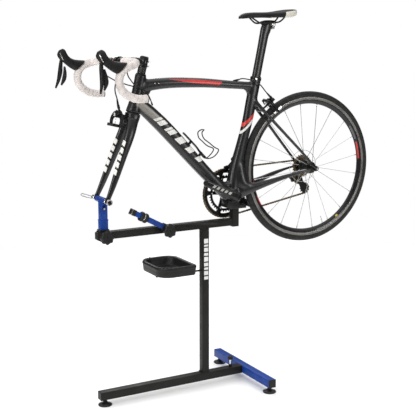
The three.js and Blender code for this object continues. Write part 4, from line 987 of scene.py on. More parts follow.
# ---------------------------------------------------------------------- brakes
def build_brake_arm(end, s, side, at, forward):
    """Caliper arm with its shoe holder and three-part brake block."""
    body = f"{end}_brake_{side}"
    layer = s * 6  # the arms cross in two layers
    arm = sweep([
        [*at(-s * 30, -16, layer), 6, 5], [*at(-s * 4, -8, layer), 11, 5.5], [*at(s * 20, 0, layer), 12, 5.5],
        [*at(s * 35, 18, layer), 9, 5.5], [*at(s * 31, 40, layer), 7.5, 5.5],
    ], 20, 2.8, forward, 8, 2)
    hub = rod(at(0, 0, layer - 5.5), at(0, 0, layer + 5.5), 10, 28, 1)
    stud = rod(at(s * 20, 40, layer), at(s * 35, 40, layer), 4, 16, 0.6)
    head = screw(at(s * 34, 40, layer), Y * s, 5, 4)
    make(f"{end}_caliper_{side}", body, BLACK_ALLOY, [arm, hub, stud, head], [f"{end}_brake_arm_{side}"])
    holder = sweep([[*at(s * 26, 41, -24), 6, 3], [*at(s * 26, 41, 24), 6, 3]], 16, 3.5, Y, 1)
    make(f"{end}_shoe_{side}", body, SILVER if end == "rear" else BLACK_ALLOY, [holder], bevel=0.8)
    rubber = []
    for span in ((-25, -9), (-8, 7), (8, 25)):
        rubber.append(sweep([[*at(s * 22, 41, depth), 5.5, 2.6] for depth in span], 12, 4, Y, 1))
    make(f"{end}_pads_{side}", body, PAD, rubber, bevel=0.4)


def build_brake(end, bolt, drop, forward):
    """Two caliper arms with the middle bolt's nut, a cable adjuster, a quick release and a spring."""
    def at(y, down, depth):
        return bolt + drop * down + forward * depth + Y * y

    for s, side in SIDES:
        build_brake_arm(end, s, side, at, forward)
    left = f"{end}_brake_left"
    nut = lathe([[0, 0], [7.5, 0], [7.5, 4], [6, 6], [0, 6]], bolt + forward * 11.8, forward, 6)
    make(f"{end}_caliper_nut", left, SILVER, [nut], bevel=0.4)
    before_last, last = (Vector(p) for p in CABLES[f"brake_cable_{end}"][1][-2:])
    foot = at(-29, -12, 6)
    adjuster = rod(foot, last, 4.2, 18, 0.8)
    knurl = rod(foot.lerp(last, 0.45), foot.lerp(last, 0.9), 5.4, 12, 0.8)
    clamp = rod(foot - forward * 8, foot + forward * 5, 6, 20, 0.8)
    make(f"{end}_cable_adjuster", f"{end}_brake_right", BLACK_ALLOY, [adjuster, knurl, clamp])
    up = (before_last - last).normalized()
    boot = tube([[*last, 4.4], [*(last + up * 9), 3.9], [*(last + up * 20), 2.9]], None, 14, 4)
    make(f"{end}_cable_boot", "beam", RUBBER, [boot])
    lever_rows = [[*at(31, -14, -6), 4, 3], [*at(37, -6, -8), 4, 2.4], [*at(40, 8, -9), 3, 2]]
    lever = sweep(lever_rows, 14, 2.4, forward, 4, 1.5)
    pin = screw(at(31, -14, -11), -forward, 4.5, 3)
    make(f"{end}_release_lever", left, BLACK_ALLOY, [lever, pin])
    spring = tube([at(22, 2, -9), at(30, 14, -10), at(28, 30, -9), at(24, 36, -7)], 1, 8, 5)
    make(f"{end}_return_spring", left, SILVER, [spring, screw(at(20, 0, -11.4), -forward, 5, 2.4)])


# ----------------------------------------------------------------------- wheel
def build_tyre_and_rim():
    middle = TYRE_RADIUS - TYRE_HALF - 0.1
    profile = [[RIM_RADIUS + 0.4, -10.4]]
    for i in range(21):
        angle = math.radians(-112 + i * 11.2)
        profile.append([middle + TYRE_HALF * math.cos(angle), TYRE_HALF * math.sin(angle)])
    profile.append([RIM_RADIUS + 0.4, 10.4])
    casing = lathe(profile, REAR_AXLE, Y, 160, True)
    make("tyre_casing", "rear_wheel", TYRE, [casing], ["rear_tyre"], angle=50)
    half = [
        [RIM_RADIUS - 0.6, 9.9], [RIM_RADIUS, 10.4], [RIM_RADIUS, 11.1], [RIM_RADIUS - 0.5, 11.5],
        [299.4, 11.5],
        [298.6, 11.2], [297, 11.1], [292, 9.3], [287, 6.7], [283.3, 4], [281.9, 2.2], [RIM_INNER, 0],
    ]
    profile = half + [[r, -y] for r, y in half[-2::-1]]
    profile += [[302, -9.4], [300, -6], [300, 6], [302, 9.4]]
    make("rim_hoop", "rear_wheel", RIM, [lathe(profile, REAR_AXLE, Y, 160, True)], ["rear_rim"], angle=28)


def build_spokes():
    """Spokes from the two flanges in turn, leading and trailing in pairs, with the hub and the valve."""
    spokes, nipples = [], []
    for i in range(SPOKES):
        angle = TURN * i / SPOKES + math.radians(4)
        flange_y, rim_y = (21, 1.2) if i % 2 else (-34, -1.2)
        lead = math.radians(8 if i % 4 < 2 else -8)
        start = REAR_AXLE + spoke(angle - lead, 22, flange_y)
        end = REAR_AXLE + spoke(angle, RIM_INNER - 1, rim_y)
        way = (end - start).normalized()
        spokes.append(rod(start, end, 1.15, 8))
        nipples.append(rod(end - way * 11, end + way * 1.5, 2.1, 10, 0.3))
    hub = [
        [3.4, -64.6], [8, -64.6], [8.6, -60], [8.6, -42], [14, -39], [25, -36.5], [25.8, -35.2], [25.8, -33],
        [25, -31.8], [14, -29], [12.4, -24], [12, -8], [12.6, 10], [15, 16], [26, 18.8], [27, 20], [27, 22.4],
        [26, 23.4], [15.2, 26], [15.2, 34], [3.4, 34],
    ]
    make("hub_shell", "rear_wheel", BLACK_ALLOY, [lathe(hub, REAR_AXLE, Y, 48, True)], ["rear_hub"])
    make("spoke_set", "rear_wheel", STEEL, spokes)
    make("spoke_nipples", "rear_wheel", STEEL, nipples)
    guard = [[70.4, 29.2], [71.6, 29.2], [72.2, 30], [71.6, 30.8], [70.4, 30.8], [69.8, 30]]
    make("spoke_guard_ring", "rear_wheel", STEEL, [lathe(guard, REAR_AXLE, Y, 96, True)])
    ends = [REAR_AXLE + spoke(-1.3, radius) for radius in (RIM_INNER, RIM_INNER - 34)]
    make("tyre_valve", "rear_wheel", SILVER, [rod(*ends, 2.6, 16, 0.6)])


def pitch_radius(teeth):
    """Radius of the chain's line round a toothed wheel."""
    return CHAIN_PITCH / (2 * math.sin(math.pi / teeth))


def gear(centre, teeth, low, high, inner, phase=0.0):
    """Toothed ring between two y values, with a round hole."""
    root, tip = pitch_radius(teeth) - 3.4, pitch_radius(teeth) + 2.6
    steps = [(0.0, root), (0.24, root + 0.9), (0.4, tip), (0.6, tip), (0.76, root + 0.9)]
    outline = [(phase + TURN * (k + share) / teeth, r) for k in range(teeth) for share, r in steps]
    middle = Vector((centre[0], 0, centre[2]))
    rings = []
    for y, outer in ((low, True), (high, True), (high, False), (low, False)):
        rings.append([middle + spoke(a, r if outer else inner, y) for a, r in outline])
    return loft(rings, True)


def build_cassette():
    """Sprockets; the larger ones stand on five arms and the two largest have a lighter finish."""
    light, dark = [], []
    for i, teeth in enumerate(SPROCKET_TEETH):
        y = COG_Y + SPROCKET_STEP - i * SPROCKET_STEP
        on_arms = teeth > 15
        inner = pitch_radius(teeth) - 12 if on_arms else 16
        (light if teeth > 21 else dark).append(gear(REAR_AXLE, teeth, y - 0.8, y + 0.8, inner))
        base = Vector((REAR_AXLE.x, y, REAR_AXLE.z))
        for k in range(5 if on_arms else 0):
            way = spoke(TURN * k / 5 + i * 0.2)
            slot = [[*(base + way * 14), 3, 0.8], [*(base + way * (inner + 1)), 2.5, 0.8]]
            dark.append(sweep(slot, 8, 4, Y, 1))
    dark.append(lathe([[15.4, 34.4], [17, 34.4], [17, 60], [15.4, 60]], REAR_AXLE, Y, 36, True))
    make("sprockets", "rear_wheel", DARK_STEEL, dark, ["cassette"])
    make("large_sprockets", "rear_wheel", BRONZE, light)
    lock = [[8.8, 61.6], [17.5, 61.6], [17.5, 63], [15, 64.2], [11, 64.2], [11, 62.6], [8.8, 62.6]]
    make("cassette_lockring", "rear_wheel", SILVER, [lathe(lock, REAR_AXLE, Y, 36, True)])


def build_rear_skewer():
    axle = [
        cross_rod(REAR_AXLE.x, REAR_AXLE.z, -80, 76, 2.6, 16),
        lathe([[0, 72.6], [8.2, 72.6], [8.8, 74], [8, 83], [6.5, 84], [0, 84]], REAR_AXLE, Y, 24),
        lathe([[0, -84], [6.5, -84], [8.6, -82], [8.8, -74], [8.8, -72.6], [0, -72.6]], REAR_AXLE, Y, 24),
    ]
    make("rear_quick_release", "beam", BLACK_ALLOY, axle, ["rear_skewer"])
    lever = sweep([[402, -80, 67, 6, 3], [386, -84, 80, 5, 2.5], [362, -86, 94, 3.4, 2]], 18, 2.4, Y, 6, 2)
    make("rear_release_lever", "beam", GLOSS_ALLOY, [lever])
    cap = lathe([[0, -86], [3.6, -86], [5, -85], [5, -83.6], [0, -83.6]], REAR_AXLE, Y, 24)
    make("rear_skewer_cap", "beam", SILVER, [cap])


# ------------------------------------------------------------------ drivetrain
def chain_path():
    """The chain's closed line over ring, pulleys and sprocket, and the angle at which it meets the ring."""
    wheels = [
        # centre, teeth, turning sense
        (Vector((0, RING_Y, 0)), RING_TEETH, 1), (Vector((TENSION.x, COG_Y, TENSION.z)), PULLEY_TEETH, 1),
        (Vector((GUIDE.x, COG_Y, GUIDE.z)), PULLEY_TEETH, -1),
        (Vector((REAR_AXLE.x, COG_Y, REAR_AXLE.z)), CHAIN_COG_TEETH, 1),
    ]
    wheels = [(centre, pitch_radius(teeth), turn) for centre, teeth, turn in wheels]
    touches = []
    for i, (a, radius_a, turn_a) in enumerate(wheels):
        b, radius_b, turn_b = wheels[(i + 1) % len(wheels)]
        dx, dz = b.x - a.x, b.z - a.z
        heading = math.atan2(dz, dx) + math.asin((turn_a * radius_a - turn_b * radius_b) / math.hypot(dx, dz))
        across, up = -math.cos(heading), math.sin(heading)
        touches.append([math.atan2(turn * across, turn * up) for turn in (turn_a, turn_b)])
    path = []
    for i, (centre, radius, turn) in enumerate(wheels):
        start, end = touches[i - 1][1], touches[i][0]
        bend = end - start
        while turn > 0 and bend < 0:
            bend += TURN
        while turn < 0 and bend > 0:
            bend -= TURN
        steps = max(4, round(abs(bend) / math.radians(4)))
        path += [centre + spoke(start + bend * k / steps, radius) for k in range(steps + 1)]
    return path, touches[-1][1]


def evenly(path, spacing):
    """Points at equal spacing round a closed path, the spacing adjusted to fit."""
    closed = path + [path[0]]
    length = sum((b - a).length for a, b in zip(closed, closed[1:]))
    count = round(length / spacing / 2) * 2
    step, reach, spots = length / count, 0.0, []
    for a, b in zip(closed, closed[1:]):
        gap = (b - a).length
        while len(spots) * step <= reach + gap and len(spots) < count:
            spots.append(a.lerp(b, (len(spots) * step - reach) / gap if gap else 0))
        reach += gap
    return spots


def link_plate(a, b, y, thickness, radius):
    """Waisted side plate between two pins."""
    way = (b - a).normalized()
    up = way.cross(Y).normalized()
    outline = []
    for centre, side in ((b, 1), (a, -1)):
        for k in range(5):
            angle = math.radians(-80 + k * 40)
            out = way * side * math.cos(angle) + up * side * math.sin(angle)
            outline.append(centre + out * radius)
        outline.append((a + b) / 2 + up * side * radius * 0.66)
    return loft([[p + Y * (y + d) for p in outline] for d in (-thickness / 2, thickness / 2)])


def build_chain():
    path, _ = chain_path()
    pins = evenly(path, CHAIN_PITCH)
    plates, rollers = [], []
    for i, a in enumerate(pins):
        b = pins[(i + 1) % len(pins)]
        offset = 2.9 if i % 2 else 1.95
        for side in (-1, 1):
            plates.append(link_plate(a, b, side * offset, 0.85, 4.1))
        rollers.append(rod(a + Y * -1.5, a + Y * 1.5, 3.8, 10))
        rollers.append(rod(a + Y * -3.6, a + Y * 3.6, 1.7, 8))
    make("chain_plates", "beam", BRONZE, plates, ["chain"])
    make("chain_rollers", "beam", DARK_STEEL, rollers)


def crank_arm(s, angle):
    """Crank arm; each row has its share of the length, half width and half depth."""
    rows = []
    widths = ((-0.02, 19, 7.5), (0.15, 18, 7.6), (0.5, 16.5, 7.4), (0.85, 14, 7), (1.0, 13.5, 6.8))
    for share, half, depth in widths:
        rows.append([*spoke(angle, CRANK * share, s * CRANK_Y), half, depth])
    return sweep(rows, 28, 3.4, Y, 6, 9)


def build_cranks():
    inner, outer = CRANK_Y - CRANK_HALF, CRANK_Y + CRANK_HALF
    for s, side, angle in ((-1, "left", CRANK_ANGLE), (1, "right", CRANK_ANGLE - math.pi)):
        pedal = spoke(angle, CRANK)
        make(f"crank_arm_{side}", "crank", CRANK_SKIN, [crank_arm(s, angle)], [f"crank_{side}"])
        eye = [[6.2, s * inner], [8.4, s * inner], [8.4, s * outer], [6.2, s * outer]]
        make(f"pedal_insert_{side}", "crank", BLACK_ALLOY, [lathe(eye, pedal, Y, 28, True)])
        # A thin black disc across the pedal eye is painted shade standing in for the dark hole.
        dark = rod(pedal + Y * s * (outer - 0.5), pedal + Y * s * (outer - 0.1), 6.3, 24)
        make(f"pedal_hole_shade_{side}", "crank", PLASTIC, [dark])
        profile = [[0, 76], [6, 76], [6, 77.2], [11, 77.2], [12.5, 75], [12.5, 68], [0, 68]]
        cap = lathe(profile, (0, 0, 0), Y * s, 32)
        make(f"crank_cap_{side}", "crank", BLACK_ALLOY, [cap])
    make("crank_spindle", "crank", BLACK_ALLOY, [cross_rod(0, 0, -66, 66, 11.8, 32)])
    build_chainrings()


def build_chainrings():
    _, start = chain_path()
    outer = gear((0, 0, 0), RING_TEETH, RING_Y - 1.3, RING_Y + 1.3, 90, start)
    lip = lathe([[88.4, 44.2], [90.6, 44.2], [90.6, 47.4], [88.4, 47.4]], (0, 0, 0), Y, 96, True)
    inner = gear((0, 0, 0), INNER_RING_TEETH, 38.6, 41, 66, start)
    arm_rows = ((14, 56, 11, 5), (40, 52, 8, 3.4), (66, 49.5, 8, 2.6))
    tab_rows = ((62, RING_Y, 9, 1.5), (78, RING_Y, 9, 1.5), (91, RING_Y, 16, 1.5))
    arms, bolts, tabs = [], [], []
    for i in range(5):
        a = math.radians(100 + i * 72)
        bolt = spoke(a, 66)
        arms.append(sweep([[*spoke(a, r, y), half, thick] for r, y, half, thick in arm_rows], 18, 3, Y, 4, 3))
        bolts.append(screw(bolt + Y * 51, Y, 5, 2.4))
        bolts.append(rod(bolt + Y * 37.5, bolt + Y * 50, 4.2, 16, 0.5))
        tabs.append(sweep([[*spoke(a, r, y), half, thick] for r, y, half, thick in tab_rows], 14, 4, Y, 4))
    hub = lathe([[12, 48.6], [22, 48.6], [24, 50], [24, 60], [20, 63], [12, 63]], (0, 0, 0), Y, 36, True)
    make("chainring_outer", "crank", GLOSS_ALLOY, [outer, lip, *tabs], ["chainrings"])
    make("chainring_inner", "crank", BLACK_ALLOY, [inner])
    make("crank_spider", "crank", GLOSS_ALLOY, [*arms, hub])
    make("chainring_bolts", "crank", SILVER, bolts)


def build_pulleys():
    for name, centre in (("guide", GUIDE), ("tension", TENSION)):
        wheel = gear(centre, PULLEY_TEETH, COG_Y - 1.2, COG_Y + 1.2, 6.4)
        middle = (centre.x, COG_Y, centre.z)
        web = lathe([[6, -2], [9, -2], [9, 2], [6, 2]], middle, Y, 24, True)
        make(f"{name}_wheel", f"{name}_pulley", PLASTIC, [wheel, web], [f"{name}_pulley"])
        bearing = lathe([[3.4, -2.2], [6, -2.2], [6, 2.2], [3.4, 2.2]], middle, Y, 24, True)
        make(f"{name}_bearing", f"{name}_pulley", SILVER, [bearing])


def build_rear_derailleur():
    guide, lower = Vector((GUIDE.x, 0, GUIDE.z)), Vector((TENSION.x, 0, TENSION.z))
    plates = []
    for y, wide, thick in ((63.5, 12.5, 1.2), (53.2, 14.5, 1.0)):
        rows = [[*(guide + Y * y), wide * 1.35, thick], [*((guide + lower) / 2 + Y * y), wide * 0.85, thick],
                [*(lower + Y * y), wide * 1.5, thick]]
        plates.append(sweep(rows, 28, 2.3, Y, 6, 14))
    make("derailleur_cage", "beam", BLACK_ALLOY, plates, ["rear_derailleur"])
    parts = [
        sweep([[402, 69, 60, 9, 3.2], [402, 69, 34, 10, 3.2]], 20, 3.4, Y, 3, 3),
        cross_rod(400, 34, 64.5, 80, 12, 32, 1.5),
        sweep([[398, 74, 34, 12, 7], [384, 79, 24, 12, 7], [368, 76, 6, 11, 7]], 22, 2.8, Y, 6, 4),
        sweep([[368, 72, 4, 12, 7], [382, 71, 4, 11, 7], [GUIDE.x, 70, GUIDE.z, 11, 6]], 22, 2.8, Y, 4, 4),
        cross_rod(GUIDE.x, GUIDE.z, 62.5, 72, 9, 28, 1),
    ]
    make("derailleur_body", "beam", GLOSS_ALLOY, parts)
    bolts = [screw(Vector((c.x, 64.6, c.z)), Y, 4.4, 2.6) for c in (GUIDE, TENSION)]
    bolts += [cross_rod(c.x, c.z, 53, 64, 3, 14) for c in (GUIDE, TENSION)]
    bolts.append(screw(Vector((400, 80, 34)), Y, 6, 2.6))
    make("derailleur_bolts", "beam", SILVER, bolts)


def build_front_derailleur():
    cages = []
    for y in (39.8, 52.3):
        rows = [[8, y, 111, 5, 0.9], [32, y, 111, 8, 0.9], [62, y, 99, 6.5, 0.9]]
        cages.append(sweep(rows, 18, 4, Y, 6, 3))
    cages.append(sweep([[28, 39, 116, 7, 2.2], [28, 53, 116, 7, 2.2]], 12, 4, Z, 1))
    cages.append(sweep([[60, 39.8, 98, 6, 1], [60, 52.3, 98, 6, 1]], 12, 4, Z, 1))
    make("changer_cage", "beam", BLACK_ALLOY, cages, ["front_derailleur"])
    parts = [
        sweep([[44, 26, 136, 9, 7], [38, 34, 130, 8, 6], [28, 44, 119, 7, 4]], 20, 2.8, -Z, 5, 3),
        sweep([[36, 24, 150, 9, 7], [44, 30, 140, 11, 8], [50, 30, 126, 9, 7]], 20, 2.8, Y, 5, 3),
        screw(Vector((44, 37, 140)), Y, 4.6, 3),
    ]
    make("changer_body", "beam", BLACK_ALLOY, parts)


# ---------------------------------------------------------------- seat and cage
def build_seatpost():
    """Seatpost with the rail clamp at its head."""
    rows = [
        [*seat(402), 20.5, 13], [*seat(650), 20.5, 13],
        [*seat(690), 21.5, 13.3], [221, 0, 690, 24, 13.6], [225, 0, 702, 20.5, 14],
        [226, 0, RAIL_Z - 5, 19, 14],
    ]
    make("seatpost_tube", "seatpost", WOVEN, [sweep(rows, 32, 2.2)], ["seatpost"])
    jaws = [
        [[205, 0, RAIL_Z - 5.4, 4.5, 15], [226, 0, RAIL_Z - 4.6, 5, 24], [249, 0, RAIL_Z - 5, 4, 22]],
        [[207, 0, RAIL_Z + 3.6, 3, 22], [228, 0, RAIL_Z + 5, 3.6, 26], [250, 0, RAIL_Z + 3.6, 3, 22]],
    ]
    make("rail_clamp", "seatpost", BLACK_ALLOY, [sweep(jaw, 20, 3, Y, 5, 2) for jaw in jaws])
    wedge = [[257, 0, RAIL_Z - 3, 12, 9], [256, 0, RAIL_Z - 14, 10, 9], [252, 0, RAIL_Z - 29, 5, 7]]
    bolt = [
        rod((257, 0, RAIL_Z - 28), (246, 0, RAIL_Z + 4), 3, 14),
        cross_rod(250, RAIL_Z - 9, -10, 10, 6.5, 22, 0.8),
        sweep(wedge, 20, 3, Y, 5, 3),
        screw(Vector((257.4, 0, RAIL_Z - 24)), Vector((0.34, 0, -0.94)), 5, 6),
    ]
    make("rail_clamp_bolt", "seatpost", SILVER, bolt)


def build_saddle():
    """Padded cover over a shell, on two bent rails."""
    rail = [
        [138, 6, 744], [154, 12, 731], [180, 19, RAIL_Z], [228, 21, RAIL_Z], [279, 22, RAIL_Z],
        [300, 26, 729], [309, 30, 741],
    ]
    rails = [tube(mirrored(rail, s), 3.5, 16, 8) for s in (-1, 1)]
    make("saddle_rail_pair", "seatpost", BLACK_POWDER, rails, ["saddle_rails"])
    stations = [
        # x, top, edge, skirt bottom, half width
        [91.5, 744, 741, 737, 7], [95, 748, 742, 735, 13], [108, 754.5, 746, 734.5, 19],
        [146, 758.5, 750, 735, 22],
        [195, 756.5, 748, 733, 27], [238, 755.5, 747, 731, 42], [276, 757, 748, 728, 60],
        [316, 760, 752, 727, 67.5], [338, 761, 754.5, 733, 62], [348, 760, 755, 740, 53],
        [352, 757.5, 754, 746, 44],
    ]
    rings = []
    for x, top, edge, low, wide in smooth(stations, 4):
        outline = [
            (0, top - 1.2), (0.3, top - 0.4), (0.62, top - 1.6), (0.86, (top + edge) / 2), (0.985, edge - 1),
            (0.99, (edge + low) / 2), (0.93, low), (0.84, low + 0.5), (0.7, edge - 7), (0.35, edge - 5),
            (0, edge - 5),
        ]
        side = [Vector((x, wide * share, z)) for share, z in outline]
        rings.append(side + [Vector((p.x, -p.y, p.z)) for p in side[-2:0:-1]])
    cover = make("saddle_cover", "seatpost", SADDLE, [loft(rings)], ["saddle"], angle=180, rounding=1)
    shell = [box((132, -12, 737), (150, 12, 745)), box((298, -34, 735), (318, 34, 745))]
    make("saddle_rail_sockets", "seatpost", PLASTIC, shell, bevel=2)


def over_down_tube(distance, y, height):
    """Point measured along the down tube and square up from it."""
    return Vector((-111, y, 107)) + DOWN_TUBE_WAY * distance + DOWN_TUBE_UP * height


def build_bottle_cage():
    """Bent wire cage on a plate, with its two bolts."""
    side = [
        [196, 5, 48], [120, 6, 48], [44, 8, 47], [34, 18, 66], [38, 22, 104], [64, 30, 96], [98, 28, 92],
        [126, 22, 90], [146, 16, 104],
    ]
    bow = [[144, -11, 117], [140, 0, 122], [144, 11, 117]]
    loop = mirrored(side, -1) + bow + side[::-1]
    wire = tube([over_down_tube(*row) for row in loop], 2.4, 10, 7)
    top = tube([over_down_tube(*row) for row in ([196, -5, 48], [202, 0, 48], [196, 5, 48])], 2.4, 10, 5)
    plate = sweep([[*over_down_tube(end, 0, 46.5), 1.2, 9] for end in (202, 52)], 16, 4, Y, 1)
    make("cage_wire", "beam", BLACK_POWDER, [wire, top, plate], ["bottle_cage"])
    bolts = [screw(over_down_tube(place, 0, 46), DOWN_TUBE_UP, 5, 3) for place in (80, 150)]
    bolts += [rod(over_down_tube(place, 0, 22), over_down_tube(place, 0, 46), 6, 18) for place in (80, 150)]
    make("cage_bolts", "beam", BLACK_ALLOY, bolts)


# ----------------------------------------------------------------------- stand
def in_stand(point):
    """A row-frame point in stand millimetres: origin on the mast's axis at the floor."""
    return STAND.inverted() @ Vector(point)


def node_box(node):
    """A CAD node's two corners in stand millimetres."""
    low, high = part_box(node)
    return in_stand(low), in_stand(high)


def weld_bead(points, radius):
    """Rippled fillet along a line of points."""
    rows = []
    for a, b in zip(points, points[1:]):
        count = max(2, round(math.dist(a, b) / 1.6))
        for k in range(count):
            spot = [u + (v - u) * k / count for u, v in zip(a, b)]
            rows.append([*spot, radius * (0.86 + 0.14 * math.cos(k * 2.1))])
    rows.append([*points[-1], radius])
    return tube(rows, None, 8, 1)


def build_stand():
    """The stand: CAD tubes with eased edges, then the parts that are built finer."""
    kept = [
        ("base_rail", BLACK_POWDER, 2.5), ("base_crossbar", BLUE_POWDER, 2.5), ("mast", MAST_POWDER, 2.5),
        ("top_beam", BLACK_POWDER, 1.6), ("bb_cradle", FOOT_RUBBER, 1.2),
        ("fork_arm_sleeve", BLUE_POWDER, 2.0), ("fork_arm_head", BLUE_POWDER, 1.0),
        ("second_arm", BLUE_POWDER, 1.6), ("crossbar_cap_left", PLASTIC, 1.4),
        ("crossbar_cap_right", PLASTIC, 1.4), ("second_arm_socket", PLASTIC, 1.4),
        ("second_arm_tip", PLASTIC, 1.4), ("second_arm_rings", PLASTIC, 1.0),
    ]
    for node, finish, bevel in kept:
        keep(node, finish, bevel)
    build_second_arm_trim()
    edge = box((-484.4, -21.4, 780), (-447.6, 3.4, 784.6))
    make("sleeve_lip", "beam", BLUE_POWDER, [edge], place=STAND, bevel=1.2)
    low, high = node_box("mast")
    out = (high.x - low.x) / 2 + 0.6
    foot = [(x * out, y * out, low.z + 1.2) for x, y in ((-1, -1), (1, -1), (1, 1), (-1, 1), (-1, -1))]
    make("mast_weld", "base", BLACK_POWDER, [weld_bead(foot, 2.2)], place=STAND)
    seam = [(132.5, y, z) for y, z in ((-15.4, 703), (-15.4, 731), (15.4, 731), (15.4, 703))]
    make("beam_weld", "beam", BLACK_POWDER, [weld_bead(seam, 1.8)], place=STAND)
    profile = [[12.2, 690.6], [20, 690.6], [21, 692], [21, 700], [19.5, 701.8], [12.2, 701.8]]
    make("swivel_collar", "beam", BLACK_ALLOY, [lathe(profile, (0, 0, 0), Z, 40, True)], place=STAND)
    plug = box((-493.5, -14.4, 702.6), (-488, 14.4, 731.4))
    make("beam_end_plug", "beam", PLASTIC, [plug], place=STAND, bevel=1.5)
    rail_plug = box((-495, -16.9, 26.6), (-489, 16.9, 60.4))
    make("rail_end_plug", "base", PLASTIC, [rail_plug], place=STAND, bevel=1.5)


def build_second_arm_trim():
    """Bright washer between the arm's two collars, and the metal edge of its tip."""
    hinge = in_stand(pivot("second_arm_hinge"))
    along = spoke(math.pi - SECOND_ARM_LEAN)
    rise = spoke(math.pi / 2 - SECOND_ARM_LEAN)
    middle = Vector((hinge.x, -27, hinge.z)) + rise * 4
    profile = [[15.4, -1.4], [18.4, -1.4], [18.9, 0], [18.4, 1.4], [15.4, 1.4]]
    washer = lathe(profile, middle + along * 127.5, along, 40, True)
    make("second_arm_washer", "second_arm", SILVER, [washer], place=STAND)
    edge = []
    for reach, half in ((186.5, 12.9), (188.8, 12.9), (190.6, 12.4), (190.6, 9.4), (186.5, 9.4)):
        edge.append(section(middle + along * reach, rise, Y, half, half, 32, 9))
    make("second_arm_edge", "second_arm", SILVER, [loft(edge, True)], place=STAND)


def build_feet():
    """Three levelling feet: rubber pad, nut and threaded stem."""
    profile = [[0, 0], [27.4, 0], [28.4, 1], [28.4, 4.2], [27, 6], [14, 10.6], [11.4, 13], [0, 13]]
    for name in ("foot_front", "foot_left", "foot_right"):
        low, high = node_box(name)
        centre = Vector(((low.x + high.x) / 2, (low.y + high.y) / 2, 0))
        make(f"{name}_pad", name, FOOT_RUBBER, [lathe(profile, centre, Z, 48)], [name], STAND)
        nut = lathe([[0, 13], [9.4, 13], [9.4, 18], [8.6, 19], [0, 19]], centre, Z, 6)
        thread = [rod(centre + Z * 12, centre + Z * 25.6, 5, 20)]
        for z in (19.5, 20.8, 22.1, 23.4):
            thread.append(lathe([[5, z], [5.7, z + 0.5], [5, z + 1]], centre, Z, 20, True))
        make(f"{name}_screw", name, BLACK_ALLOY, [nut, *thread], place=STAND)


def build_knobs():
    """Two lobed hand knobs with their through bolts."""
    levels = [
        # place along the bolt, share of the full width
        (-58, 0.5), (-58, 0.72), (-57.2, 0.82), (-54.5, 0.95), (-51, 1.0), (-44, 1.0), (-41.4, 0.93),
        (-40.2, 0.8), (-40.2, 0.4),
    ]
    for name in ("front_knob", "second_knob"):
        pin = in_stand(pivot(f"{name}_turn"))
        middle = Vector((pin.x, 0, pin.z))
        rings = [lobed(middle + Y * y, KNOB_LOBES, 27.8 * share, 2 * share, 96, X, Z) for y, share in levels]
        make(f"{name}_grip", name, PLASTIC, [loft(rings)], [name], STAND, angle=60)
        washer = lathe([[6.4, -40], [10, -40], [10, -38.6], [6.4, -38.6]], middle, Y, 28, True)
        bolt = cross_rod(pin.x, pin.z, -40, 21.6, 5.9, 24, 0.8)
        dome = lathe([[0, -59.4], [4, -59.2], [6.6, -58.2], [6.6, -57], [0, -57]], middle, Y, 28)
        make(f"{name}_bolt", name, BLACK_ALLOY, [washer, bolt, dome], place=STAND)


def build_lock():
    """Lobed lock knob with its collar and shaft."""
    pin = in_stand(pivot("base_lock_turn"))
    foot = Vector((pin.x, 0, pin.z))
    profile = [[4.2, 0], [7.8, 0], [8, 1], [8, 9], [7, 10], [4.2, 10]]
    collar = lathe(profile, foot, Z, 28, True)
    make("lock_collar", "base_lock", BLACK_ALLOY, [collar], ["base_lock_knob"], STAND)
    make("lock_shaft", "base_lock", SILVER, [rod(foot + Z, foot + Z * 34, 4, 24, 0.5)], place=STAND)
    levels = ((32, 0.6), (32.4, 0.8), (34, 0.95), (37, 1), (43, 1), (46, 0.9), (47.8, 0.7), (48, 0.3))
    rings = [lobed(foot + Z * z, LOCK_LOBES, 12.3 * share, 0.7 * share, 48, X, Y) for z, share in levels]
    make("lock_grip", "base_lock", PLASTIC, [loft(rings)], place=STAND, angle=60)


def tray_outline(centre, inset, cut):
    """The tray's outline, moved inwards by `inset` and with corners smaller by `cut`."""
    outline = []
    corners = zip(((1, 1), (-1, 1), (-1, -1), (1, -1)), TRAY_CORNERS)
    for k, ((sx, sy), corner) in enumerate(corners):
        r = max(4, corner - cut)
        middle = centre + Vector((sx * (TRAY_HALF_X - inset - r), sy * (TRAY_HALF_Y - inset - r), 0))
        for i in range(13):
            a = (k + i / 12) * math.pi / 2
            outline.append(middle + Vector((r * math.cos(a), r * math.sin(a), 0)))
    return outline


